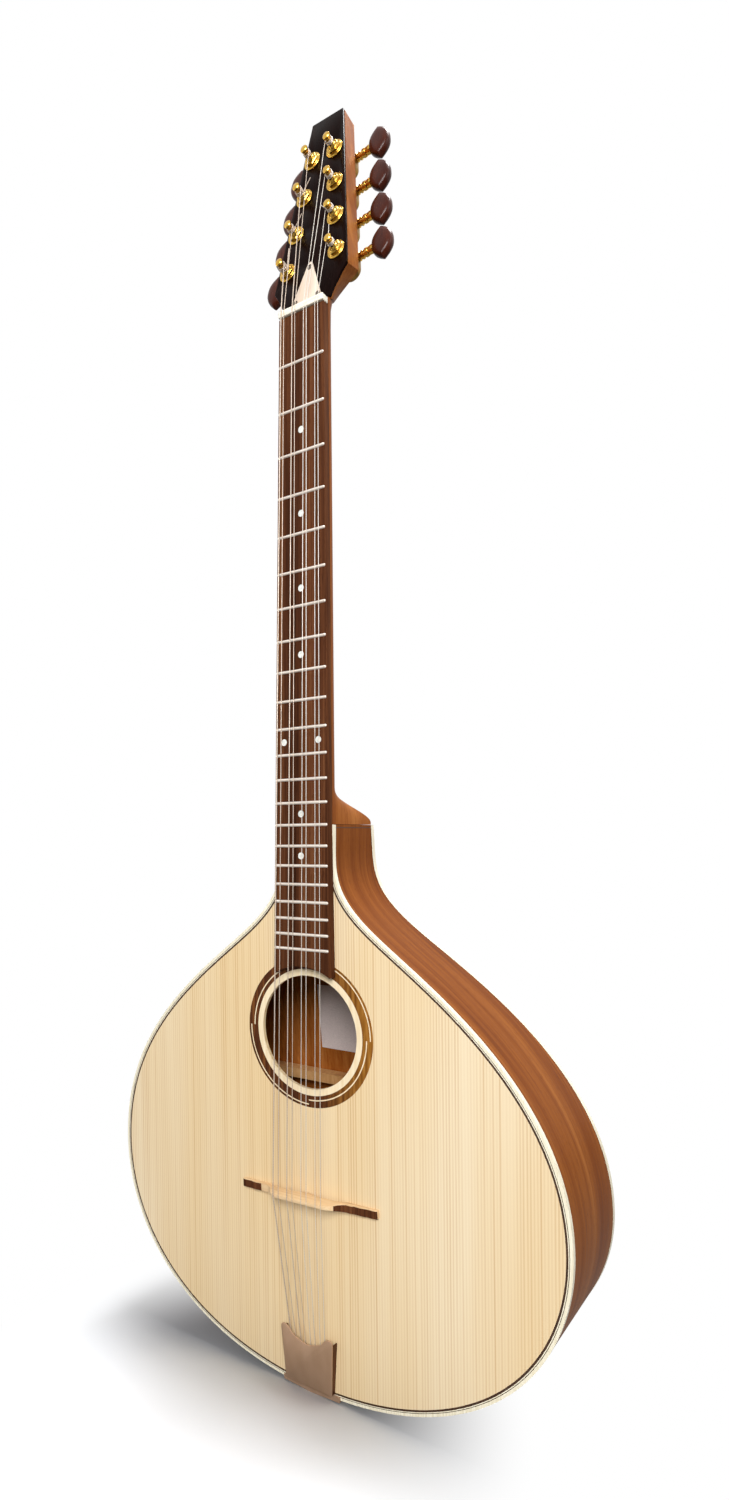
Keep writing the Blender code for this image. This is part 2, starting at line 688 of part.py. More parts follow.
def build_head_overlay():
    foot = NUT_LENGTH + 3 * GAP + 0.0012
    flare = [foot] + [HEAD_WIDE_AT * share for share in HEAD_FLARE_STATIONS] + [HEAD_WIDE_AT]
    half = [(head_half_width(up), up) for up in flare] + [(HEAD_TIP_HALF_WIDTH, HEAD_LENGTH)]
    bm = bmesh.new()
    slab(bm, [(x, 0, z) for x, z in half + mirrored(half)], (0, OVERLAY_THICKNESS, 0))
    bm.transform(HEAD)
    overlay = finished("head_overlay", bm, WOOD_DARK)
    for k, (x, z) in enumerate(tuner_places()):
        bm = bmesh.new()
        cylinder(bm, SLEEVE_RADIUS + GAP, (x, -0.01, z), (x, 0.01, z), 16)
        bm.transform(HEAD)
        combine(overlay, finished("cut_overlay_%d" % k, bm, None, cutter=True), "DIFFERENCE")

    bm = bmesh.new()
    tip = [
        (COVER_TIP_RADIUS * sin(a), COVER_TIP_AT - COVER_TIP_RADIUS + COVER_TIP_RADIUS * cos(a))
        for a in (radians(k) for k in (-65, -35, 0, 35, 65))
    ]
    outline = [(-COVER_HALF_WIDTH, COVER_BASE_AT)] + tip + [(COVER_HALF_WIDTH, COVER_BASE_AT)]
    slab(bm, [(x, -GAP, z) for x, z in outline], (0, -COVER_THICKNESS, 0))
    bm.transform(HEAD)
    finished("truss_cover", bm, WOOD_PALE)


def build_nut():
    w = NUT_HALF_WIDTH
    bm = bmesh.new()
    low, high = GAP, GAP + NUT_LENGTH
    r = NUT_ROUNDING
    profile = [
        (BOARD_BACK, low),
        (-NUT_RISE, low),
        (-NUT_RISE, high - r),
        (-NUT_RISE + r * 0.3, high - r * 0.3),
        (-NUT_RISE + r, high),
        (BOARD_BACK, high),
    ]
    slab(bm, [(-w, y, z) for y, z in profile], (2 * w, 0, 0))
    bm.transform(NECK)
    finished("nut", bm, BONE)


def tuner_places():
    """(x, height) of each post on the headstock: left column first, from the nut up."""
    left = [(-x, z) for x, z in zip(TUNER_HALF_SPACING, TUNER_HEIGHTS)]
    return left + [(-x, z) for x, z in left]


HEAD_EDGE_ANGLE = atan2(HEAD_WIDE_HALF_WIDTH - HEAD_TIP_HALF_WIDTH, HEAD_LENGTH - HEAD_WIDE_AT)
HEAD_BACK = OVERLAY_THICKNESS + GAP + HEAD_THICKNESS + GAP
WORM_Y = HEAD_BACK + HOUSING_THICKNESS / 2
WIND_TOP = POST_TOP - POST_CAP - POST_FLARE - GAP


def tuner_frame(x, z):
    """Frame of one tuner: x towards its button, y into the head along the post, z to the tip."""
    side = 1 if x > 0 else -1
    turn = Matrix.Rotation(-HEAD_EDGE_ANGLE * side, 4, "Y")
    return side, HEAD @ Matrix.Translation((x, 0, z)) @ turn


def build_tuner(label, x, z):
    side, frame = tuner_frame(x, z)

    # Housing with its sleeve, washer and hexagon nut
    bm = bmesh.new()
    half, top = HOUSING_HALF_WIDTH, HOUSING_TOP
    arc = [(half * cos(pi * k / 8), -half * sin(pi * k / 8)) for k in range(9)]
    crown = [(-half, top - half * 0.3), (-half * 0.7, top), (half * 0.7, top), (half, top - half * 0.3)]
    slab(bm, [(px, HEAD_BACK, pz) for px, pz in arc + crown], (0, HOUSING_THICKNESS, 0))
    housing = finished("tuner_housing_" + label, bm, GOLD, matrix=frame)
    sleeve_top = -GAP - WASHER_THICKNESS / 2
    hex_foot = -GAP - WASHER_THICKNESS * 0.7
    hex_top = -GAP - WASHER_THICKNESS - HEX_HEIGHT
    half_gear = GEAR_THICKNESS / 2 + RUNNING_GAP
    room = WORM_HALF_LENGTH + RUNNING_GAP
    collar_end = BUTTON_FROM_POST - FERRULE_LENGTH - RUNNING_GAP
    bars = (
        ("sleeve", "UNION", 12, SLEEVE_RADIUS, (0, sleeve_top, 0), (0, HEAD_BACK + HOUSING_WALL / 2, 0)),
        ("washer", "UNION", 18, WASHER_RADIUS, (0, -GAP, 0), (0, -GAP - WASHER_THICKNESS, 0)),
        ("hex", "UNION", 6, HEX_RADIUS, (0, hex_foot, 0), (0, hex_top, 0)),
        (
            "collar",
            "UNION",
            10,
            COLLAR_RADIUS,
            (side * (half - HOUSING_WALL), WORM_Y, WORM_OFFSET),
            (side * collar_end, WORM_Y, WORM_OFFSET),
        ),
        ("bore", "DIFFERENCE", 12, POST_RADIUS + RUNNING_GAP, (0, -POST_TOP, 0), (0, WORM_Y, 0)),
        (
            "gear_room",
            "DIFFERENCE",
            16,
            GEAR_RADIUS + RUNNING_GAP,
            (0, WORM_Y - half_gear, 0),
            (0, WORM_Y + half_gear, 0),
        ),
        (
            "worm_room",
            "DIFFERENCE",
            8,
            WORM_RADIUS + RUNNING_GAP,
            (-side * room, WORM_Y, WORM_OFFSET),
            (side * room, WORM_Y, WORM_OFFSET),
        ),
        (
            "shaft_bore",
            "DIFFERENCE",
            8,
            SHAFT_RADIUS + RUNNING_GAP,
            (0, WORM_Y, WORM_OFFSET),
            (side * (collar_end + BUTTON_LENGTH), WORM_Y, WORM_OFFSET),
        ),
    )
    for name, operation, steps, radius, low, high in bars:
        bm = bmesh.new()
        cylinder(bm, radius, low, high, steps)
        thing = finished("%s_%s" % (name, label), bm, None, matrix=frame, cutter=True)
        combine(housing, thing, operation)

    # Button, shaft and worm turn together
    shaft = frame @ Matrix.Translation((0, WORM_Y, WORM_OFFSET))
    bm = bmesh.new()
    corners = 16
    ring = []
    for k in range(corners):
        a = 2 * pi * k / corners
        u = BUTTON_LENGTH / 2 * cos(a)
        v = BUTTON_HEIGHT / 2 * abs(sin(a)) ** 0.85 * (1 if sin(a) > 0 else -1)
        ring.append((u, v))
    centre = BUTTON_FROM_POST + BUTTON_LENGTH / 2
    rings = []
    for height, share in ((-1.0, 0.64), (-0.7, 0.9), (0, 1.0), (0.7, 0.9), (1.0, 0.64)):
        y = BUTTON_THICKNESS / 2 * height
        rings.append([bm.verts.new((side * (centre + u * share), y, v * share)) for u, v in ring])
    for low, high in zip(rings, rings[1:]):
        for k in range(corners):
            bm.faces.new((low[k], low[(k + 1) % corners], high[(k + 1) % corners], high[k]))
    bm.faces.new(rings[0])
    bm.faces.new(rings[-1])
    button = finished("tuner_button_" + label, bm, BUTTON_WOOD, matrix=shaft, smooth=True)
    for name, radius, start, end in (
        ("shaft", SHAFT_RADIUS, -WORM_HALF_LENGTH * 0.9, BUTTON_FROM_POST + FERRULE_LENGTH),
        ("worm", WORM_RADIUS, -WORM_HALF_LENGTH, WORM_HALF_LENGTH),
        ("ferrule", COLLAR_RADIUS, BUTTON_FROM_POST - FERRULE_LENGTH, BUTTON_FROM_POST + 0.002),
    ):
        bm = bmesh.new()
        cylinder(bm, radius, (side * start, 0, 0), (side * end, 0, 0), 8)
        thing = finished("%s_%s" % (name, label), bm, None, matrix=shaft, cutter=True)
        combine(button, thing, "UNION")

    # String post with its toothed wheel
    bm = bmesh.new()
    low_y = WORM_Y - GEAR_THICKNESS / 2
    waist_top = -POST_TOP + POST_CAP + POST_FLARE
    waist_foot = hex_top - RUNNING_GAP - POST_FLARE
    profile = [
        (POST_RADIUS * 0.75, -POST_TOP),
        (POST_RADIUS, -POST_TOP + POST_CAP * 0.3),
        (POST_RADIUS, -POST_TOP + POST_CAP),
        (POST_WAIST, waist_top),
        (POST_WAIST, waist_foot),
        (POST_RADIUS, waist_foot + POST_FLARE),
        (POST_RADIUS, low_y + GEAR_THICKNESS / 2),
    ]
    turned(bm, profile, 12)
    post = finished("tuner_post_" + label, bm, GOLD, matrix=frame, smooth=True)
    bm = bmesh.new()
    wheel = []
    for k in range(GEAR_TEETH):
        for share, radius in ((-0.3, 0.86), (-0.14, 1.0), (0.14, 1.0), (0.3, 0.86)):
            a = 2 * pi * (k + share) / GEAR_TEETH
            wheel.append((GEAR_RADIUS * radius * cos(a), low_y, GEAR_RADIUS * radius * sin(a)))
    slab(bm, wheel, (0, GEAR_THICKNESS, 0))
    gear = finished("gear_" + label, bm, None, matrix=frame, cutter=True)
    combine(post, gear, "UNION")


def build_bridge():
    right = list(BRIDGE_SHAPE)
    right.append((right[-1][0], 0))
    for a in range(0, 181, 30):
        right.append((ARCH_MIDDLE + ARCH_HALF * cos(radians(a)), ARCH_HEIGHT * sin(radians(a))))
    outline = right + [(-x, h) for x, h in reversed(right) if x > 0]
    bm = bmesh.new()
    slab(bm, [(x, -h - GAP, -BRIDGE_FOOT / 2) for x, h in outline], (0, 0, BRIDGE_FOOT))
    for vert in bm.verts:
        height = -vert.co.y - GAP
        share = max(0.0, (height - BRIDGE_WING_HEIGHT) / (BRIDGE_HEIGHT - BRIDGE_WING_HEIGHT))
        if vert.co.z > 0:
            vert.co.z -= share * BRIDGE_LEAN
        else:
            vert.co.z += share * (BRIDGE_FOOT - BRIDGE_RIDGE - BRIDGE_LEAN)
    bm.transform(BRIDGE_PLACE)
    finished("bridge", bm, WOOD_PALE)


BRIDGE_Z = NECK @ Vector((0, 0, -SCALE_LENGTH))
BRIDGE_PLACE = Matrix.Translation((BRIDGE_OFFSET, TOP_Y, BRIDGE_Z.z - BRIDGE_SETBACK)) @ Matrix.Rotation(
    radians(-BRIDGE_SLANT), 4, "Y"
)


def tail_rise(x):
    """How far the body's tail has risen at a distance from its middle."""
    points = half_outline()
    for (x0, z0), (x1, z1) in zip(points, points[1:]):
        if x0 <= abs(x) <= x1:
            return z0 + (z1 - z0) * (abs(x) - x0) / (x1 - x0) - BODY_FLOOR
    return 0.0


def cover_front(z):
    """The cover's outer plane, which climbs away from the top towards its ears."""
    share = (z - BODY_FLOOR - COVER_FROM) / (COVER_EARS - COVER_FROM)
    return TOP_Y - COVER_LOW_HEIGHT - (COVER_HIGH_HEIGHT - COVER_LOW_HEIGHT) * share


def build_tailpiece():
    edge = BODY_FLOOR - GAP
    t = BRACKET_THICKNESS
    profile = [
        (-GAP, BODY_FLOOR + TONGUE_TOP),
        (-GAP - t, BODY_FLOOR + TONGUE_TOP),
        (-GAP - t, edge - t),
        (BRACKET_DROP, edge - t),
        (BRACKET_DROP, edge),
        (-GAP, edge),
    ]
    first = half_outline()[1][0]
    bends = [-first, 0.0, first] if first < BRACKET_HALF else [0.0]
    bm = bmesh.new()
    rings = []
    for x in [-BRACKET_HALF] + bends + [BRACKET_HALF]:
        rise = tail_rise(x)
        rings.append(
            [bm.verts.new((x, TOP_Y + y, z + (rise if z <= edge else 0))) for y, z in profile]
        )
    count = len(profile)
    for low, high in zip(rings, rings[1:]):
        for k in range(count):
            bm.faces.new((low[k], low[(k + 1) % count], high[(k + 1) % count], high[k]))
    bm.faces.new(rings[0])
    bm.faces.new(rings[-1])
    bracket = finished("tail_bracket", bm, BRONZE)
    for s in (-1, 1):
        bm = bmesh.new()
        corner = [
            (s * TONGUE_HALF, BODY_FLOOR + BRACKET_BEND),
            (s * TONGUE_HALF, BODY_FLOOR + TONGUE_TOP + t),
            (s * (BRACKET_HALF + t), BODY_FLOOR + TONGUE_TOP + t),
            (s * (BRACKET_HALF + t), BODY_FLOOR + BRACKET_BEND),
        ]
        slab(bm, [(x, TOP_Y - GAP - 2 * t, z) for x, z in corner], (0, 3 * t, 0))
        combine(bracket, finished("cut_tongue_%d" % s, bm, None, cutter=True), "DIFFERENCE")
    bm = bmesh.new()
    half = HOOK_SIZE / 2
    z = BODY_FLOOR + HOOK_HEIGHT_ON_BODY
    for x in hook_xs():
        corners = [(x - half, z - half), (x + half, z - half), (x + half, z + half), (x - half, z + half)]
        slab(bm, [(px, TOP_Y - GAP - t / 2, pz) for px, pz in corners], (0, -HOOK_LENGTH, 0))
    combine(bracket, finished("add_hooks", bm, None, cutter=True), "UNION")

    right = [(x, z + BODY_FLOOR) for x, z in COVER_SHAPE]
    outline = right + [(-x, z) for x, z in reversed(right[1:])]
    cover = plate("tail_cover", outline, cover_front, lambda z: cover_front(z) + COVER_WALL, BRONZE)
    # The walls start inside the plate and stand a little inside its edge, so that they join it
    inset = COVER_WALL / 5
    (high_x, high_z), (low_x, low_z) = right[-2:]
    for s, turn in ((-1, mirrored), (1, list)):
        wall = [
            (high_x - inset, high_z),
            (low_x - inset, low_z + inset),
            (low_x - COVER_WALL - inset, low_z + inset),
            (high_x - COVER_WALL - inset, high_z),
        ]
        add = plate(
            "add_wall_%d" % s,
            turn(wall),
            lambda z: cover_front(z) + inset,
            level(-GAP),
            None,
            cutter=True,
        )
        combine(cover, add, "UNION")
    end = [
        (-low_x + 2 * inset, low_z + 2 * inset),
        (low_x - 2 * inset, low_z + 2 * inset),
        (low_x - 2 * inset, low_z + COVER_WALL + 2 * inset),
        (-low_x + 2 * inset, low_z + COVER_WALL + 2 * inset),
    ]
    over_tongue = level(-GAP - t - GAP)
    add = plate("add_end", end, lambda z: cover_front(z) + 2 * inset, over_tongue, None, cutter=True)
    combine(cover, add, "UNION")


def hook_xs():
    return [HOOK_SPACING * (k - 3.5) for k in range(8)]


def string_lanes(courses, pair):
    centres = [-courses[0], -courses[1], courses[1], courses[0]]
    return [c + s * pair / 2 for c in centres for s in (-1, 1)]


def build_strings():
    nut_xs = string_lanes(NUT_COURSES, NUT_PAIR)
    bridge_xs = string_lanes(BRIDGE_COURSES, BRIDGE_PAIR)
    places = tuner_places()
    # Outer strings go to the lowest posts on their own side
    order = [0, 1, 2, 3, 7, 6, 5, 4]
    least = 1.0
    for k in range(8):
        radius = STRING_RADII[k]
        route = []
        z = BODY_FLOOR + HOOK_HEIGHT_ON_BODY + HOOK_SIZE / 2 + GAP
        start = Vector((hook_xs()[k], TOP_Y - GAP - BRACKET_THICKNESS - STRING_ON_HOOK, z))
        route.append(start)
        on_ridge = BRIDGE_FOOT / 2 - BRIDGE_LEAN - BRIDGE_RIDGE / 2
        ridge = BRIDGE_PLACE @ Vector((bridge_xs[k], 0, on_ridge))
        ridge.y = TOP_Y - BRIDGE_HEIGHT - 2 * GAP - radius
        route.append(ridge)
        nut = NECK @ Vector((nut_xs[k], -NUT_RISE - GAP - radius, GAP + NUT_LENGTH / 2))
        route.append(nut)
        x, s = places[order[k]]
        side = 1 if x > 0 else -1
        wrap = POST_WAIST + GAP + radius
        pitch = 2 * radius + WIND_PITCH_GAP
        for step in range(WIND_TURNS * WIND_STEPS + 1):
            a = 2 * pi * step / WIND_STEPS
            px = x - side * wrap * cos(a)
            pz = s + wrap * sin(a)
            py = -WIND_TOP + radius + pitch * step / WIND_STEPS
            route.append(HEAD @ Vector((px, py, pz)))
        curve = bpy.data.curves.new("string_%d" % (k + 1), "CURVE")
        curve.dimensions = "3D"
        spline = curve.splines.new("POLY")
        spline.points.add(len(route) - 1)
        for point, place in zip(spline.points, route):
            point.co = (*place, 1)
        curve.bevel_depth = radius
        curve.bevel_resolution = 1
        curve.use_fill_caps = True
        curve.materials.append(material_of(STEEL))
        PARTS.objects.link(bpy.data.objects.new("string_%d" % (k + 1), curve))
        wound = route[3:]
        for i, a in enumerate(wound):
            for b in wound[i + WIND_STEPS // 2 :]:
                least = min(least, (a - b).length - 2 * radius)
    print("least gap of a winding to itself: %.2f mm" % (least * 1000))


build_body()
build_braces()
build_neck()
build_head_overlay()
build_fingerboard()
build_nut()
build_bridge()
build_tailpiece()
for index, (place_x, place_z) in enumerate(tuner_places()):
    build_tuner("%s_%d" % ("left" if place_x < 0 else "right", index % 4 + 1), place_x, place_z)
build_strings()
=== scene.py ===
# %% [markdown]
# # A flat-topped lute with eight strings
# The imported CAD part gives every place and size. These cells dress it: they add the pieces that are
# too fine for the solids, such as frets, inlays and string windings, and give every surface a finish.
# The part stands on its tail, +Z runs up the neck and the top faces -Y. Sizes are in metres.

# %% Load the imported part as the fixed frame
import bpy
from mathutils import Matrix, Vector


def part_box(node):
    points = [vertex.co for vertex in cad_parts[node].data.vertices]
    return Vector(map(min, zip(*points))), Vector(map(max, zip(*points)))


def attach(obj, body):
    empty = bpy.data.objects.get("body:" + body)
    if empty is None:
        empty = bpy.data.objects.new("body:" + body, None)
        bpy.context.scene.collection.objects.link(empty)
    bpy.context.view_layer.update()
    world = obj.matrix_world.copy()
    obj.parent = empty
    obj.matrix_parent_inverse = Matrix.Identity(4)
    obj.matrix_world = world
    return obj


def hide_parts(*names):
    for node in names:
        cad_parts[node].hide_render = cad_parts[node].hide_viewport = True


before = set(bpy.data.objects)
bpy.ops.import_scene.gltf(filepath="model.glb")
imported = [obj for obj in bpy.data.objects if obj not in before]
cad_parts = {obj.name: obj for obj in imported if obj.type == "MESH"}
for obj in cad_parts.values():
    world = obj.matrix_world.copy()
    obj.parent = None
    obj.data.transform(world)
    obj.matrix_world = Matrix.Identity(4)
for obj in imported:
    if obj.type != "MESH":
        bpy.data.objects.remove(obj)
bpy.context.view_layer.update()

# %% The libraries, and the places that the solids give
import bmesh
import bpy
from math import atan2, cos, pi, radians, sin, tan
from mathutils import Matrix, Vector
from mathutils.geometry import interpolate_bezier
from mathutils.kdtree import KDTree

MM = 0.001
GAP = 0.3 * MM
top_low, top_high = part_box("soundboard")
TOP_Y = top_low.y
TOP_THICKNESS = top_high.y - top_low.y
JOINT_Z = top_high.z + GAP
FLOOR_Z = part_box("binding_front")[0].z
print("top at y = %.4f, body from z = %.4f to %.4f" % (TOP_Y, FLOOR_Z, JOINT_Z))

# %% [markdown]
# ## The camera
# The frets of a neck stand in known steps, so the view can be worked out from where they show in the
# photograph. It was taken from close by, to the right of the middle, with a wide lens. A long lens is
# easier to aim, but it would lose the strong perspective of the deep side.

# %% Camera
def aimed(place, forward, upright=(0, 0, 1)):
    """A matrix that stands at a place and looks along a direction, with its top up."""
    forward = Vector(forward).normalized()
    right = forward.cross(upright).normalized()
    up = right.cross(forward)
    turn = Matrix((right, up, -forward)).transposed().to_4x4()
    return Matrix.Translation(place) @ turn


lens = bpy.data.cameras.new("photo_camera")
lens.lens = 20.01
lens.sensor_width = 36
lens.shift_x = 0.043
lens.shift_y = 0.0661
camera = bpy.data.objects.new("photo_camera", lens)
place = (0.3537, TOP_Y - 0.5026, JOINT_Z - 0.0083)
camera.matrix_world = aimed(place, (-0.5813, 0.8136, -0.0151), upright=(0, 0.0209, 0.9998))
bpy.context.scene.collection.objects.link(camera)
bpy.context.scene.camera = camera
print("camera at", [round(value, 3) for value in camera.location])

# %% [markdown]
# ## Colours and nodes
# Colours are written as the hex values that a picture shows, and the shader works with linear light,
# so one function turns one into the other. One more adds any node with its settings and links. The
# same graph could be drawn in the shader editor, but a script can be read, changed and run again.

# %% Helpers for colours and nodes
def linear(hex_colour):
    """An sRGB hex colour as linear light, with full opacity."""
    parts = [int(hex_colour[k : k + 2], 16) / 255 for k in (1, 3, 5)]
    return (*[p / 12.92 if p <= 0.04045 else ((p + 0.055) / 1.055) ** 2.4 for p in parts], 1.0)


def add_node(tree, kind, settings=None, inputs=None):
    """Adds a node. Settings are its fields, or the stops of a ramp; inputs are values or sockets."""
    made = tree.nodes.new(kind)
    for field, value in (settings or {}).items():
        if field == "stops":
            stops = made.color_ramp.elements
            while len(stops) < len(value):
                stops.new(0.5)
            for stop, (place, shade) in zip(stops, value):
                stop.position = place
                stop.color = linear(shade)
        else:
            setattr(made, field, value)
    for socket, value in (inputs or {}).items():
        if isinstance(value, bpy.types.NodeSocket):
            tree.links.new(value, made.inputs[socket])
        else:
            made.inputs[socket].default_value = value
    return made


def new_finish(name, **sockets):
    """A material with its tree and shader. These sockets keep one value all over the surface."""
    made = bpy.data.materials.new(name)
    made.use_nodes = True
    shader = made.node_tree.nodes["Principled BSDF"]
    for socket, value in sockets.items():
        shader.inputs[socket.replace("_", " ")].default_value = value
    return made, made.node_tree, shader


print("mid grey in linear light:", round(linear("#808080")[0], 3))

# %% [markdown]
# ## The floor and the room
# The object stands on a white floor in an even white room. The floor shows the camera a little more
# white than it gives the object, so it melts into the room and still holds the soft shadow. A lit
# paper sweep would do the same, but it would need more light, and that would wash out the wood.

# %% Floor
def make_floor():
    """A white floor that keeps the shadow near the object and melts into the room further out."""
    floor, tree, shader = new_finish("matt white painted studio floor", Roughness=0.9)
    shader.inputs["Base Color"].default_value = linear("#e0e3e8")
    place = add_node(tree, "ShaderNodeTexCoord")
    reach = add_node(
        tree,
        "ShaderNodeVectorMath",
        settings={"operation": "DISTANCE"},
        inputs={0: place.outputs["Object"], 1: (-0.05, -0.08, 0)},
    )
    fade = add_node(
        tree,
        "ShaderNodeMapRange",
        settings={"interpolation_type": "SMOOTHSTEP"},
        inputs={0: reach.outputs["Value"], 1: 0.08, 2: 0.22, 3: 0.0, 4: 1.0},
    )
    glow = add_node(tree, "ShaderNodeEmission", inputs={"Color": (1, 1, 1, 1), "Strength": FLOOR_GLOW})
    lifted = add_node(tree, "ShaderNodeAddShader", inputs={0: shader.outputs[0], 1: glow.outputs[0]})
    white = add_node(tree, "ShaderNodeEmission", inputs={"Color": (1, 1, 1, 1), "Strength": 1.0})
    seen = add_node(
        tree,
        "ShaderNodeMixShader",
        inputs={0: fade.outputs[0], 1: lifted.outputs[0], 2: white.outputs[0]},
    )
    dim = add_node(tree, "ShaderNodeBsdfDiffuse", inputs={"Color": linear("#8c8a86")})
    path = add_node(tree, "ShaderNodeLightPath")
    mix = add_node(
        tree,
        "ShaderNodeMixShader",
        inputs={0: path.outputs["Is Camera Ray"], 1: dim.outputs[0], 2: seen.outputs[0]},
    )
    tree.links.new(mix.outputs[0], tree.nodes["Material Output"].inputs["Surface"])
    bm = bmesh.new()
    bmesh.ops.create_circle(bm, cap_ends=True, segments=64, radius=6)
    mesh = bpy.data.meshes.new("studio_floor")
    bm.to_mesh(mesh)
    bm.free()
    mesh.materials.append(floor)
    made = bpy.data.objects.new("studio_floor", mesh)
    bpy.context.scene.collection.objects.link(made)
    return made


FLOOR_GLOW = 0.08
floor = make_floor()
print("floor made")

# %% Room
def make_room(strength):
    """White to the camera, in mirrors and through glass, and softer as a light."""
    room = bpy.data.worlds.new("even white room")
    room.use_nodes = True
    tree = room.node_tree
    seen = tree.nodes["Background"]
    seen.inputs["Color"].default_value = (1, 1, 1, 1)
    seen.inputs["Strength"].default_value = 1.0
    lit = add_node(tree, "ShaderNodeBackground", inputs={"Color": linear("#fcfcff"), "Strength": strength})
    path = add_node(tree, "ShaderNodeLightPath")
    mirrored = add_node(
        tree,
        "ShaderNodeMath",
        settings={"operation": "MAXIMUM"},
        inputs={0: path.outputs["Is Glossy Ray"], 1: path.outputs["Is Transmission Ray"]},
    )
    plain = add_node(
        tree,
        "ShaderNodeMath",
        settings={"operation": "MAXIMUM"},
        inputs={0: path.outputs["Is Camera Ray"], 1: mirrored.outputs[0]},
    )
    mix = add_node(
        tree,
        "ShaderNodeMixShader",
        inputs={0: plain.outputs[0], 1: lit.outputs[0], 2: seen.outputs[0]},
    )
    tree.links.new(mix.outputs[0], tree.nodes["World Output"].inputs["Surface"])
    bpy.context.scene.world = room


make_room(0.22)
bpy.context.scene.view_settings.view_transform = "Standard"
print("view transform:", bpy.context.scene.view_settings.view_transform)

# %% [markdown]
# ## Soft lamps
# A product photographer lights gold and lacquer with large white boxes, because their reflections
# are what the eye reads as polish. Small lamps would make hard shadows of the strings. The main box
# stands to the right of the camera, as the top is brightest on that side.

# %% Lamps
def add_lamp(name, place, target, size, power, lit):
    """A square area lamp that looks at a target and only lights a collection of things."""
    light = bpy.data.lights.new(name, "AREA")
    light.size = size
    light.energy = power
    lamp = bpy.data.objects.new(name, light)
    lamp.matrix_world = aimed(place, Vector(target) - Vector(place))
    bpy.context.scene.collection.objects.link(lamp)
    lamp.light_linking.receiver_collection = lit


middle = (0, 0, 0.40)
all_but_floor = bpy.data.collections.new("all_but_floor")
all_but_floor.objects.link(floor)
all_but_floor.collection_objects[0].light_linking.link_state = "EXCLUDE"
floor_only = bpy.data.collections.new("floor_only")
floor_only.objects.link(floor)
add_lamp("main_softbox", (0.9, -1.6, 1.3), (0, 0, 0.5), 0.9, 51, all_but_floor)
add_lamp("left_softbox", (-1.7, -0.9, 0.7), middle, 1.0, 3, all_but_floor)
add_lamp("side_softbox", (1.7, 0.1, 1.5), (0, 0, 0.6), 0.9, 5, all_but_floor)
add_lamp("overhead_softbox", (0.25, 0.45, 2.1), middle, 0.6, 30, all_but_floor)
add_lamp("floor_softbox", (0.10, 0.24, 2.1), (0, 0, 0), 0.6, 70, floor_only)

# %% [markdown]
# ## The neck's own frame
# A neck leans back a little from the top, and the headstock leans back more, so that the strings
# press on the nut. Frets, dots and tuners are easiest to place in frames that lean with them: x
# across, y into the wood from the fret tops and z up from the nut. The frets follow the rule of
# twelve equal steps to an octave, so no fret has to be measured.

# %% Frames of the neck and the headstock
SCALE_LENGTH = 650 * MM
BODY_FRET = 15
FRET_COUNT = 22
BOARD_RISE = 7.0 * MM


def fret_z(number):
    """Place of a fret below the nut."""
    return -SCALE_LENGTH * (1 - 2 ** (-number / 12))


def leaning(angle):
    return Matrix.Rotation(-radians(angle), 4, "X")


joint_to_nut = leaning(1.2) @ Vector((0, -BOARD_RISE, -fret_z(BODY_FRET)))
NECK = Matrix.Translation(Vector((0, TOP_Y, JOINT_Z)) + joint_to_nut) @ leaning(1.2)
HEAD = NECK @ Matrix.Translation((0, 6.9 * MM, 0)) @ leaning(10)
print("nut at", [round(value, 4) for value in NECK.translation])

# %% [markdown]
# ## Helpers for the pieces
# Each piece starts as a bmesh: a plate extruded from an outline, a turned profile, a round bar or a
# skin over loops. Bevels come last, because an edge with no radius catches no light and looks drawn.
# The same pieces could be made with live modifiers, but a finished mesh exports as it looks.

# %% Helper: a bmesh becomes a piece
def piece(name, bm, finish, body="lute", instead_of=(), sharp=35):
    """Turns a bmesh into a finished object that rides on a body of the part."""
    bmesh.ops.remove_doubles(bm, verts=bm.verts, dist=0.001 * MM)
    bmesh.ops.recalc_face_normals(bm, faces=bm.faces)
    mesh = bpy.data.meshes.new(name)
    bm.to_mesh(mesh)
    bm.free()
    mesh.shade_smooth()
    mesh.set_sharp_from_angle(angle=radians(sharp))
    mesh.materials.append(finish)
    made = bpy.data.objects.new(name, mesh)
    bpy.context.scene.collection.objects.link(made)
    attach(made, body)
    if instead_of:
        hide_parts(*instead_of)
    return made


# %% Helpers: softened edges, and shapes joined in one bmesh
def soften(bm, size, segments=2, least=30):
    """Rounds the edges that turn by more than an angle."""
    edges = [e for e in bm.edges if len(e.link_faces) == 2 and e.calc_face_angle(0) > radians(least)]
    bmesh.ops.bevel(
        bm,
        geom=edges,
        offset=size,
        offset_type="OFFSET",
        segments=segments,
        profile=0.5,
        affect="EDGES",
        clamp_overlap=True,
        material=-1,
    )
    return bm


def joined(*shapes):
    """One bmesh that holds several closed shapes."""
    whole = shapes[0]
    for shape in shapes[1:]:
        mesh = bpy.data.meshes.new("joined")
        shape.to_mesh(mesh)
        shape.free()
        whole.from_mesh(mesh)
        bpy.data.meshes.remove(mesh)
    return whole


# %% Helpers: plates and turned shapes
def loop_of(bm, points, closed=True):
    """A line of edges through the points."""
    verts = [bm.verts.new(point) for point in points]
    ends = verts[1:] + verts[:1] if closed else verts[1:]
    return [bm.edges.new(pair) for pair in zip(verts, ends)]


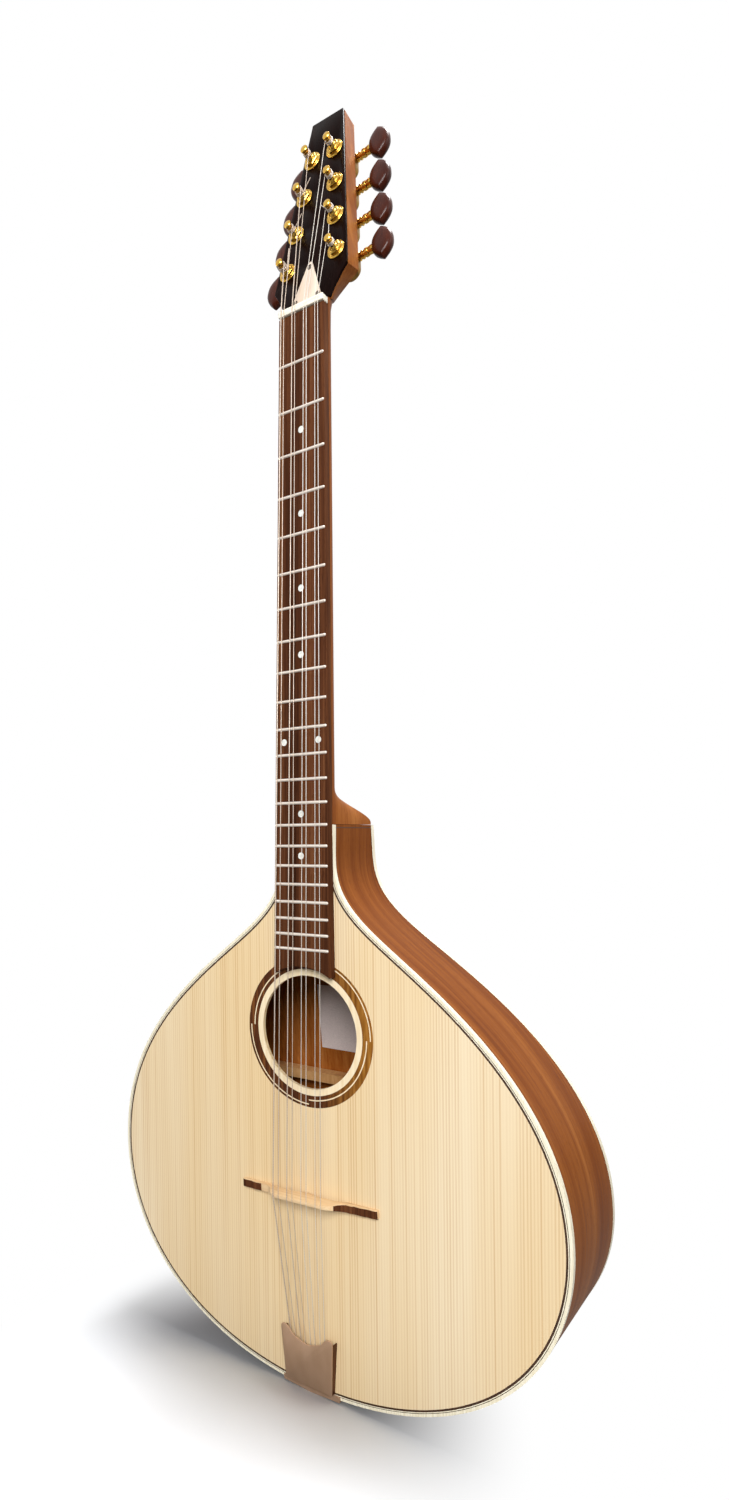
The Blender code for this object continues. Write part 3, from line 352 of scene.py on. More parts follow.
def plate(outline, front, back, holes=()):
    """A plate with an (x, z) outline between two faces, whose y is a function of z."""
    bm = bmesh.new()
    edges = loop_of(bm, [(x, 0, z) for x, z in outline])
    for x, z, radius in holes:
        place = Matrix.Translation((x, 0, z)) @ Matrix.Rotation(pi / 2, 4, "X")
        ring = bmesh.ops.create_circle(bm, cap_ends=False, segments=72, radius=radius, matrix=place)
        edges += list({edge for vert in ring["verts"] for edge in vert.link_edges})
    if holes:
        bmesh.ops.triangle_fill(bm, use_beauty=True, use_dissolve=False, edges=edges)
    else:
        bmesh.ops.contextual_create(bm, geom=edges)
    moved = bmesh.ops.extrude_face_region(bm, geom=bm.faces[:])
    far = {item for item in moved["geom"] if isinstance(item, bmesh.types.BMVert)}
    for vert in bm.verts:
        vert.co.y = back(vert.co.z) if vert in far else front(vert.co.z)
    bmesh.ops.recalc_face_normals(bm, faces=bm.faces)
    return bm


def level(depth):
    """A face at a fixed depth behind the front of the top."""
    return lambda z: TOP_Y + depth


def turned(profile, steps=32, matrix=None):
    """A shape turned about y from (radius, y) pairs. A ring ends on the pair that it starts from."""
    bm = bmesh.new()
    edges = loop_of(bm, [(radius, y, 0) for radius, y in profile], closed=False)
    verts = list({vert for edge in edges for vert in edge.verts})
    bmesh.ops.spin(
        bm,
        geom=verts + edges,
        cent=(0, 0, 0),
        axis=(0, 1, 0),
        angle=2 * pi,
        steps=steps,
        use_merge=True,
        use_duplicate=False,
    )
    bmesh.ops.remove_doubles(bm, verts=bm.verts, dist=0.001 * MM)
    bmesh.ops.recalc_face_normals(bm, faces=bm.faces)
    if matrix:
        bm.transform(matrix)
    return bm


def in_mm(*pairs):
    """Section points in millimetres as (radius, y) in metres."""
    return [(radius * MM, y * MM) for radius, y in pairs]


# %% Helpers: round bars and skins
def bar(radius, start, end, steps=16, tip=None):
    """A round bar from start to end, with its radius at the tip if it tapers."""
    start, end = Vector(start), Vector(end)
    turn = (end - start).to_track_quat("Z", "Y").to_matrix().to_4x4()
    bm = bmesh.new()
    bmesh.ops.create_cone(
        bm,
        cap_ends=True,
        segments=steps,
        radius1=radius,
        radius2=radius if tip is None else tip,
        depth=(end - start).length,
        matrix=Matrix.Translation((start + end) / 2) @ turn,
    )
    return bm


def skin(rings):
    """A closed skin over loops of points, with a cap at each end."""
    bm = bmesh.new()
    loops = [loop_of(bm, ring) for ring in rings]
    for low, high in zip(loops, loops[1:]):
        bmesh.ops.bridge_loops(bm, edges=low + high)
    bmesh.ops.contextual_create(bm, geom=loops[0])
    bmesh.ops.contextual_create(bm, geom=loops[-1])
    bmesh.ops.recalc_face_normals(bm, faces=bm.faces)
    return bm


def cut_away(thing, *cutters):
    """Cuts closed shapes out of a finished piece, as a drill or a router would."""
    for shape in cutters:
        mesh = bpy.data.meshes.new("cutter")
        shape.to_mesh(mesh)
        shape.free()
        cutter = bpy.data.objects.new("cutter", mesh)
        bpy.context.scene.collection.objects.link(cutter)
        step = thing.modifiers.new("cut", "BOOLEAN")
        step.operation = "DIFFERENCE"
        step.object = cutter
    view = bpy.context.evaluated_depsgraph_get()
    mesh = bpy.data.meshes.new_from_object(thing.evaluated_get(view))
    used = [step.object for step in thing.modifiers]
    thing.modifiers.clear()
    thing.data = mesh
    for cutter in used:
        bpy.data.objects.remove(cutter, do_unlink=True)


print("helpers ready")

# %% [markdown]
# ## Spruce for the top
# The top of a fretted instrument is two mirrored boards of spruce, sawn so that the year rings stand
# on edge. The eye sees fine straight lines, pale between and tan on them, some stronger than others.
# A wave texture gives even lines and two stretched noises make them unequal. The rings are about
# 1.5 mm apart on real spruce, and are drawn here at 2.3 mm, as finer ones would not show.

# %% Quarter-sawn spruce
def stretched(tree, output, scale):
    """Coordinates that are scaled by axis, which stretches a pattern along the smallest."""
    place = add_node(tree, "ShaderNodeTexCoord")
    return add_node(
        tree,
        "ShaderNodeMapping",
        inputs={"Vector": place.outputs[output], "Scale": scale},
    ).outputs["Vector"]


def make_spruce():
    """Spruce, planed and lacquered: pale, straight-grained, with a soft gloss."""
    finish, tree, shader = new_finish(
        "quarter-sawn spruce, planed and lacquered", Coat_Weight=0.25, Coat_Roughness=0.2
    )
    rings = add_node(
        tree,
        "ShaderNodeTexWave",
        settings={"wave_type": "BANDS", "bands_direction": "X", "wave_profile": "SIN"},
        inputs={
            "Vector": stretched(tree, "Object", (1, 0, 0.05)),
            "Scale": 0.31416 / (2.2 * MM),
            "Distortion": 1.6,
            "Detail": 3.0,
            "Detail Scale": 0.8,
        },
    )
    uneven = add_node(
        tree,
        "ShaderNodeTexNoise",
        inputs={"Vector": stretched(tree, "Object", (1, 0, 0.006)), "Scale": 330.0, "Detail": 4.0},
    )
    strong = add_node(
        tree,
        "ShaderNodeMapRange",
        inputs={0: uneven.outputs["Fac"], 1: 0.35, 2: 0.70, 3: 0.12, 4: 0.9},
    )
    line = add_node(
        tree,
        "ShaderNodeMath",
        settings={"operation": "MULTIPLY"},
        inputs={0: rings.outputs["Fac"], 1: strong.outputs[0]},
    )
    grain = add_node(
        tree,
        "ShaderNodeValToRGB",
        settings={"stops": [(0.0, "#eedcbb"), (0.45, "#e4cda8"), (1.0, "#cfab80")]},
        inputs={"Fac": line.outputs[0]},
    )
    broad = add_node(
        tree,
        "ShaderNodeTexNoise",
        inputs={"Vector": stretched(tree, "Object", (1, 0, 0.12)), "Scale": 14.0, "Detail": 2.0},
    )
    tone = add_node(
        tree,
        "ShaderNodeValToRGB",
        settings={"stops": [(0.3, "#f6ead2"), (0.7, "#ffffff")]},
        inputs={"Fac": broad.outputs["Fac"]},
    )
    colour = add_node(
        tree,
        "ShaderNodeMix",
        settings={"data_type": "RGBA", "blend_type": "MULTIPLY"},
        inputs={0: 1.0, 6: grain.outputs[0], 7: tone.outputs[0]},
    )
    sheen = add_node(
        tree,
        "ShaderNodeMapRange",
        inputs={0: line.outputs[0], 1: 0.0, 2: 1.0, 3: 0.42, 4: 0.33},
    )
    relief = add_node(
        tree,
        "ShaderNodeBump",
        inputs={"Height": line.outputs[0], "Strength": 0.12, "Distance": 0.05 * MM},
    )
    tree.links.new(colour.outputs[2], shader.inputs["Base Color"])
    tree.links.new(sheen.outputs[0], shader.inputs["Roughness"])
    tree.links.new(relief.outputs[0], shader.inputs["Normal"])
    return finish


SPRUCE = make_spruce()
print("made", SPRUCE.name)

# %% [markdown]
# ## Mahogany, cedar and rosewood
# Three woods share one build: broad streaks along the grain, fine fibres in them, and short dark
# pores where the vessels are cut open. Only colours and sizes differ, so one function makes them all.
# Scales are how many lengths of the pattern fit in a metre along each axis: a fibre 1 mm wide and
# 60 mm long is 1000 across and 17 along.

# %% Streaked woods
def make_wood(name, output, fibre, pore, stops, pore_depth, roughness, coat, relief_depth=0.3, shine=0.4):
    """A planed wood. Fibre and pore are scales by axis, and stops run from dark to pale."""
    finish, tree, shader = new_finish(
        name, Coat_Weight=coat, Coat_Roughness=0.08, Specular_IOR_Level=shine
    )
    streak = add_node(
        tree,
        "ShaderNodeTexNoise",
        inputs={
            "Vector": stretched(tree, output, [value * 0.12 for value in fibre]),
            "Scale": 1.0,
            "Detail": 5.0,
            "Roughness": 0.62,
            "Distortion": 0.4,
        },
    )
    fine = add_node(
        tree,
        "ShaderNodeTexNoise",
        inputs={"Vector": stretched(tree, output, fibre), "Scale": 1.0, "Detail": 3.0},
    )
    both = add_node(
        tree,
        "ShaderNodeMix",
        settings={"data_type": "FLOAT"},
        inputs={0: 0.3, 2: streak.outputs["Fac"], 3: fine.outputs["Fac"]},
    )
    colour = add_node(
        tree,
        "ShaderNodeValToRGB",
        settings={"stops": stops},
        inputs={"Fac": both.outputs[0]},
    )
    vessels = add_node(
        tree,
        "ShaderNodeTexNoise",
        inputs={"Vector": stretched(tree, output, pore), "Scale": 1.0, "Detail": 1.0},
    )
    pores = add_node(
        tree,
        "ShaderNodeMapRange",
        inputs={0: vessels.outputs["Fac"], 1: 0.60, 2: 0.72, 3: 0.0, 4: pore_depth},
    )
    shaded = add_node(
        tree,
        "ShaderNodeMix",
        settings={"data_type": "RGBA", "blend_type": "MIX"},
        inputs={0: pores.outputs[0], 6: colour.outputs[0], 7: linear(stops[0][1])},
    )
    gloss = add_node(
        tree,
        "ShaderNodeMapRange",
        inputs={0: fine.outputs["Fac"], 1: 0.3, 2: 0.7, 3: roughness * 0.85, 4: roughness * 1.15},
    )
    relief = add_node(
        tree,
        "ShaderNodeBump",
        settings={"invert": True},
        inputs={"Height": pores.outputs[0], "Strength": relief_depth, "Distance": 0.05 * MM},
    )
    tree.links.new(shaded.outputs[2], shader.inputs["Base Color"])
    tree.links.new(gloss.outputs[0], shader.inputs["Roughness"])
    tree.links.new(relief.outputs[0], shader.inputs["Normal"])
    return finish


# %% Mahogany of the sides, which follows the bend through a UV map in metres
SIDE_WOOD = make_wood(
    "mahogany veneer, bent and lacquered",
    "UV",
    fibre=(14, 520, 0),
    pore=(160, 1500, 0),
    stops=[(0.3, "#52260a"), (0.45, "#743c14"), (0.58, "#8a4f20"), (0.72, "#a16532")],
    pore_depth=0.45,
    roughness=0.4,
    coat=0.0,
    shine=0.05,
)

# %% Mahogany of the neck and the back, with the grain up the instrument
NECK_WOOD = make_wood(
    "mahogany, carved and lacquered",
    "Object",
    fibre=(520, 520, 14),
    pore=(1500, 1500, 160),
    stops=[(0.3, "#683210"), (0.45, "#8b4d1c"), (0.58, "#9f602c"), (0.72, "#b47840")],
    pore_depth=0.35,
    roughness=0.45,
    coat=0.0,
    shine=0.07,
)

# %% Rosewood of the fingerboard, oiled, so it has no coat and shows its pores
ROSEWOOD = make_wood(
    "rosewood, planed and oiled",
    "Object",
    fibre=(700, 300, 10),
    pore=(2200, 2200, 180),
    stops=[(0.32, "#28140a"), (0.45, "#452616"), (0.56, "#603922"), (0.7, "#845a3a")],
    pore_depth=0.5,
    roughness=0.6,
    coat=0.0,
    shine=0.03,
)

# %% Ebony veneer of the headstock's face, dyed and polished to a mirror
EBONY = make_wood(
    "ebony veneer, polished black lacquer",
    "Object",
    fibre=(600, 600, 12),
    pore=(1800, 1800, 150),
    stops=[(0.3, "#0a0302"), (0.5, "#120604"), (0.75, "#1e0c08")],
    pore_depth=0.1,
    roughness=0.28,
    coat=0.0,
    relief_depth=0.0,
    shine=0.03,
)

# %% Maple of the bridge
MAPLE = make_wood(
    "maple, carved and oiled",
    "Object",
    fibre=(16, 500, 500),
    pore=(150, 1700, 1700),
    stops=[(0.3, "#c49c6c"), (0.5, "#dcb98c"), (0.7, "#ecd2a8")],
    pore_depth=0.25,
    roughness=0.42,
    coat=0.1,
)

# %% A paler sheet of maple for the truss rod cover, cut across the flame
PALE_MAPLE = make_wood(
    "maple veneer, sanded and waxed",
    "Object",
    fibre=(420, 420, 16),
    pore=(1500, 1500, 150),
    stops=[(0.3, "#cdb096"), (0.5, "#dfc8b2"), (0.7, "#eddccb")],
    pore_depth=0.2,
    roughness=0.4,
    coat=0.1,
)

# %% Bare spruce and cedar inside the body, sawn and sanded, so it is dull
INNER_WOOD = make_wood(
    "cedar, sawn and sanded",
    "Object",
    fibre=(260, 260, 9),
    pore=(900, 900, 120),
    stops=[(0.3, "#8a5a30"), (0.5, "#b5834f"), (0.7, "#cfa26c")],
    pore_depth=0.25,
    roughness=0.7,
    coat=0.0,
)
print("woods:", len([m for m in bpy.data.materials if m.name.endswith(("lacquered", "oiled", "sanded"))]))

# %% [markdown]
# ## Binding, bone, pearl and paper
# The pale materials are smooth, but none of them is one flat tint. Celluloid has a faint ivory grain,
# bone has short streaks, pearl changes tone in patches and paper has fibres. One function mixes two
# close shades with a stretched noise. A photograph of each would hold more, but no picture is used.

# %% Pale materials
def make_pale(name, shades, scale, roughness, coat, metallic=0.0):
    """A smooth material that drifts between two close shades, with a finish to match."""
    finish, tree, shader = new_finish(name, Coat_Weight=coat, Coat_Roughness=0.06, Metallic=metallic)
    cloud = add_node(
        tree,
        "ShaderNodeTexNoise",
        inputs={"Vector": stretched(tree, "Object", scale), "Scale": 1.0, "Detail": 3.0},
    )
    colour = add_node(
        tree,
        "ShaderNodeValToRGB",
        settings={"stops": [(0.35, shades[0]), (0.65, shades[1])]},
        inputs={"Fac": cloud.outputs["Fac"]},
    )
    gloss = add_node(
        tree,
        "ShaderNodeMapRange",
        inputs={0: cloud.outputs["Fac"], 1: 0.3, 2: 0.7, 3: roughness * 0.8, 4: roughness * 1.2},
    )
    tree.links.new(colour.outputs[0], shader.inputs["Base Color"])
    tree.links.new(gloss.outputs[0], shader.inputs["Roughness"])
    return finish


IVOROID = make_pale("celluloid binding, scraped and buffed", ("#e9dfc2", "#f5eed8"), (900, 900, 60), 0.28, 0.4)
BONE = make_pale("bone, filed and polished", ("#e8e1cb", "#f6f2e4"), (90, 700, 700), 0.3, 0.3)
PEARL = make_pale("shell pearl, ground flat", ("#cfd4cf", "#f6f3ea"), (500, 500, 380), 0.18, 0.6)
PAPER = make_pale("laid paper, printed blank", ("#c8b9b4", "#d8c9c4"), (600, 600, 2500), 0.85, 0.0)
# The dark fibre is the purfling's own colour, and the same finish is painted shade in the screw wells of the truss rod
# cover.
DARK_FIBRE_AND_SHADE = make_pale("dyed fibre purfling, also painted screw shade", ("#2e190b", "#452a17"), (700, 700, 90), 0.5, 0.0)
print("pale finishes:", IVOROID.name, "/", BONE.name, "/", PEARL.name)

# %% [markdown]
# ## Metals
# Gold plate on the tuners is a mirror with faint buffing marks. The tailpiece is bronze, brushed
# and lacquered, so its highlights are wide. Frets are nickel silver and strings are drawn wire. A
# metal's look is its reflection, so each has a base tint, a roughness that wavers and fine relief.

# %% Metals
def make_metal(name, shades, scale, roughness, relief_depth, metallic=1.0, source="Object"):
    """A metal with marks of its making: their scale by axis, and how deep they look."""
    finish, tree, shader = new_finish(name, Metallic=metallic)
    marks = add_node(
        tree,
        "ShaderNodeTexNoise",
        inputs={"Vector": stretched(tree, source, scale), "Scale": 1.0, "Detail": 4.0},
    )
    tint = add_node(
        tree,
        "ShaderNodeValToRGB",
        settings={"stops": [(0.3, shades[0]), (0.7, shades[1])]},
        inputs={"Fac": marks.outputs["Fac"]},
    )
    gloss = add_node(
        tree,
        "ShaderNodeMapRange",
        inputs={0: marks.outputs["Fac"], 1: 0.3, 2: 0.7, 3: roughness[0], 4: roughness[1]},
    )
    relief = add_node(
        tree,
        "ShaderNodeBump",
        inputs={"Height": marks.outputs["Fac"], "Strength": relief_depth, "Distance": 0.02 * MM},
    )
    tree.links.new(tint.outputs[0], shader.inputs["Base Color"])
    tree.links.new(gloss.outputs[0], shader.inputs["Roughness"])
    tree.links.new(relief.outputs[0], shader.inputs["Normal"])
    return finish


GOLD = make_metal("gold plate, buffed", ("#d0a243", "#dfb65a"), (90, 90, 90), (0.13, 0.17), 0.01)
BRONZE = make_metal("bronze sheet, brushed", ("#ba977a", "#c4a185"), (120, 120, 50), (0.34, 0.42), 0.04, 0.5)
# matt as a casting is, and also painted darker: painted shade for the housings behind the headstock
SHADED_CAST_GOLD = make_metal("gold plate, cast and matt, painted in shade", ("#8c6a36", "#a58042"), (150, 150, 150), (0.35, 0.45), 0.05)
# painted shade: a darker copy of the bronze, for the cover's side walls, which stand in shade
SHADED_BRONZE = make_metal("bronze sheet, painted in shade", ("#4e301e", "#664028"), (400, 400, 60), (0.4, 0.5), 0.05)
NICKEL = make_metal("nickel silver, drawn and dressed", ("#e2d6ca", "#f4ebe0"), (60, 900, 900), (0.25, 0.35), 0.05, 0.4)
STEEL = make_metal("steel screw, plated", ("#6e655c", "#a39a8e"), (800, 800, 800), (0.22, 0.38), 0.1)
print("metals:", GOLD.name, "/", BRONZE.name, "/", NICKEL.name)

# %% [markdown]
# ## Wound strings
# The thick strings are steel cores wrapped in bronze wire, and the thin ones are plain steel. The
# wrap is seen as a fine ribbed sheen. Its turns are a fifth of a millimetre apart on the real
# string, and are drawn at 1.2 mm, or they would be lost. The ribs follow a UV map in metres.

# %% Wire finishes
def make_wire(name, shades, ribs):
    """Drawn or wrapped wire, with ribs across it of a given depth, and painted shade in the grooves between them."""
    finish, tree, shader = new_finish(name, Metallic=0.5, Roughness=0.45)
    wrap = add_node(
        tree,
        "ShaderNodeTexWave",
        settings={"wave_type": "BANDS", "bands_direction": "X", "wave_profile": "SIN"},
        inputs={"Vector": stretched(tree, "UV", (1, 1, 1)), "Scale": 0.31416 / (1.2 * MM), "Distortion": 0.5},
    )
    # painted shade: the colour runs darker in the grooves between the turns and paler on their crowns
    tint = add_node(
        tree,
        "ShaderNodeValToRGB",
        settings={"stops": [(0.1, shades[0]), (0.9, shades[1])]},
        inputs={"Fac": wrap.outputs["Fac"]},
    )
    relief = add_node(
        tree,
        "ShaderNodeBump",
        inputs={"Height": wrap.outputs["Fac"], "Strength": ribs, "Distance": 0.1 * MM},
    )
    tree.links.new(tint.outputs[0], shader.inputs["Base Color"])
    tree.links.new(relief.outputs[0], shader.inputs["Normal"])
    return finish


WOUND_WIRE = make_wire("bronze wire, wrapped on steel", ("#bfac9b", "#d4c4b5"), 0.25)
PLAIN_WIRE = make_wire("steel wire, drawn", ("#cfc5bb", "#e6dfd6"), 0.05)
print("wires:", WOUND_WIRE.name, "/", PLAIN_WIRE.name)

# %% [markdown]
# ## Polished buttons
# The tuner buttons are turned from dark red-brown wood and lacquered. They are nearly black until
# a lamp catches the rim. The gloss is in the wood's own shader, with no clear coat on top, so the wood stays dark.

# %% Buttons
BUTTON_WOOD = make_wood(
    "rosewood button, turned and lacquered",
    "Object",
    fibre=(700, 700, 60),
    pore=(2000, 2000, 400),
    stops=[(0.3, "#2e1008"), (0.5, "#3e170b"), (0.72, "#502212")],
    pore_depth=0.2,
    roughness=0.26,
    coat=0.0,
    relief_depth=0.0,
    shine=0.16,
)
print("made", BUTTON_WOOD.name)

# %% [markdown]
# ## The body's outline
# A luthier bends the sides round a mould. The mould is a teardrop here: three smooth curves from
# the tail to the widest place, to the shoulder and to the neck. Bezier curves hold the same shape
# with twelve points. Moved inwards, the same line gives the bindings, the lines inside them and the
# plates, so that all of them stay parallel.

# %% The outline, and the plane of the back
BODY_LENGTH = JOINT_Z - FLOOR_Z
HALF_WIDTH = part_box("binding_front")[1].x
TAPER = 53 * MM / BODY_LENGTH


def back_y(z):
    """The outer face of the back: the body grows deeper towards the tail."""
    return TOP_Y + 57 * MM + TAPER * (JOINT_Z - z)


def half_outline(inset):
    """The right half of the outline as (x, z), from the tail's middle to the neck, moved inwards."""
    slope = Vector((-cos(radians(38.7)), sin(radians(38.7))))
    wide = Vector((HALF_WIDTH, 0.3618 * BODY_LENGTH))
    shoulder = Vector((55.6 * MM, 0.8139 * BODY_LENGTH))
    neck = Vector((24 * MM, BODY_LENGTH))
    across, up = Vector((1, 0)), Vector((0, 1)) * BODY_LENGTH
    curves = (
        (Vector((0, 0)), across * 0.6375 * HALF_WIDTH, wide - up * 0.193, wide),
        (wide, wide + up * 0.2395, shoulder - slope * 0.1294 * BODY_LENGTH, shoulder),
        (shoulder, shoulder + slope * 0.1156 * BODY_LENGTH, neck - up * 0.0782, neck),
    )
    points = [Vector((0, 0))]
    for curve in curves:
        points += interpolate_bezier(*[point.to_2d() for point in curve], 48)[1:]
    moved = []
    for k, point in enumerate(points):
        along = points[min(k + 1, len(points) - 1)] - points[max(k - 1, 0)]
        if k == 0:
            along = Vector((1, 0))
        if k == len(points) - 1:
            along = Vector((0, 1))
        along.normalize()
        moved.append(point + Vector((-along.y, along.x)) * inset)
    return [(p.x, p.y + FLOOR_Z) for p in moved]


def whole_outline(inset, below_joint=0.0):
    right = half_outline(inset)
    right[-1] = (right[-1][0], right[-1][1] - below_joint)
    return right + [(-x, z) for x, z in reversed(right[1:])]


def strip(outer, inner, front, back):
    """A strip that follows the outline between two insets and two faces, open at the neck."""
    rings = []
    for (x0, z0), (x1, z1) in zip(half_outline(outer), half_outline(inner)):
        corners = ((x0, front(z0), z0), (x1, front(z1), z1), (x1, back(z1), z1), (x0, back(z0), z0))
        rings.append([Vector(corner) for corner in corners])
    left = [[Vector((-p.x, p.y, p.z)) for p in ring] for ring in reversed(rings[1:])]
    return skin(left + rings)


print("outline points:", len(whole_outline(0.0)))

# %% [markdown]
# ## Top, back and sides
# The top and the back are thin plates that sit inside the bindings, and the hole is sawn in the top
# after its rings are inlaid. The sides are thin boards bent with steam, so their grain runs round
# the bend, and a UV map in metres lays it out flat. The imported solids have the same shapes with
# fewer points, and these finer ones stand for them, because a bend shows every flat in its gloss.

# %% Top and back
HOLE_Z = JOINT_Z - 0.3649 * BODY_LENGTH
HOLE_RADIUS = 42.05 * MM
EDGE = 2.3 * MM
top = plate(whole_outline(EDGE, GAP), level(0), level(TOP_THICKNESS), holes=[(0, HOLE_Z, HOLE_RADIUS)])
piece("spruce_top", top, SPRUCE, instead_of=["soundboard"])
back = plate(whole_outline(EDGE, GAP), lambda z: back_y(z) - 2.8 * MM, back_y)
piece("wood_back", back, NECK_WOOD, instead_of=["back_plate"])
print("hole centre %.1f mm below the joint" % ((JOINT_Z - HOLE_Z) * 1000))


# %% Sides, with their UV map along the bend
def lay_along(bm, line, flat=False):
    """Writes a UV map in metres: along a line of points, and into the depth."""
    run = [0.0]
    for before, after in zip(line, line[1:]):
        run.append(run[-1] + (after - before).length)
    near = KDTree(len(line))
    for k, point in enumerate(line):
        near.insert(point, k)
    near.balance()
    layer = bm.loops.layers.uv.new("UVMap")
    for face in bm.faces:
        for corner in face.loops:
            place = corner.vert.co
            found = near.find((place.x, 0, place.z) if flat else place)[1]
            corner[layer].uv = (run[found], place.y)
    return run[-1]


outer_line = [Vector((-x, 0, z)) for x, z in reversed(half_outline(0)[1:])]
outer_line += [Vector((x, 0, z)) for x, z in half_outline(0)]
sides = strip(0.0, 2.2 * MM, level(4.2 * MM), lambda z: back_y(z) - 4.2 * MM)
run = lay_along(sides, outer_line, flat=True)
piece("bent_sides", sides, SIDE_WOOD, instead_of=["side_left", "side_right"])
print("sides run %.0f mm from joint to joint" % (run * 1000))

# %% [markdown]
# ## Bindings and purfling
# A strip of celluloid protects each edge of the body, and thin dark and pale strips beside it, the
# purfling, make the edge look crisp. They are let into a ledge and scraped level. Here the strips
# stand 0.03 mm proud, which no eye sees, so that two surfaces never share one place.

# %% Bindings
for name, front, back, node in (
    ("front_binding", level(0), level(3.7 * MM), "binding_front"),
    ("back_binding", lambda z: back_y(z) - 3.7 * MM, back_y, "binding_back"),
):
    binding = strip(-0.15 * MM, 2.0 * MM, front, back)
    piece(name, binding, IVOROID, instead_of=[node])

# %% Purfling on the top, and dark lines where the bindings meet the sides
PROUD = 0.03 * MM
for name, outer, inner, finish in (
    ("top_line_outer", 1.95, 2.35, DARK_FIBRE_AND_SHADE),
    ("top_line_pale", 2.35, 2.95, IVOROID),
    ("top_line_inner", 2.95, 4.35, DARK_FIBRE_AND_SHADE),
):
    line = strip(outer * MM, inner * MM, level(-PROUD), level(0.5 * MM))
    piece(name, line, finish)
for name, front, back in (
    ("side_line_front", level(3.7 * MM), level(4.2 * MM)),
    ("side_line_back", lambda z: back_y(z) - 4.2 * MM, lambda z: back_y(z) - 3.7 * MM),
):
    line = strip(0.0, 2.0 * MM, front, back)
    piece(name, line, DARK_FIBRE_AND_SHADE)
line = strip(1.9 * MM, 2.9 * MM, lambda z: back_y(z) - 0.5 * MM, lambda z: back_y(z) + PROUD)
piece("back_line", line, DARK_FIBRE_AND_SHADE)
joins = []
for side in (-1, 1):
    corners = [(side * x * MM, JOINT_Z - low * MM) for x, low in ((22, 2.4), (24.04, 2.4), (24.04, 1.8), (22, 1.8))]
    joins.append(plate(corners, level(3.9 * MM), lambda z: back_y(z) - 3.9 * MM))
piece("heel_lines", joined(*joins), DARK_FIBRE_AND_SHADE)
print("binding strips made")

# %% [markdown]
# ## The rosette
# Round the hole lies a pale ring, and round that a wide ring of rosewood with a thin pale line. The
# line runs close to the hole in two opposite quarters and further out in the others, and changes
# lane at the four quarter points. Real inlays are cut as strips. Here one flush ring carries them as
# a material that measures its distance from the hole's middle, as that keeps every line true.

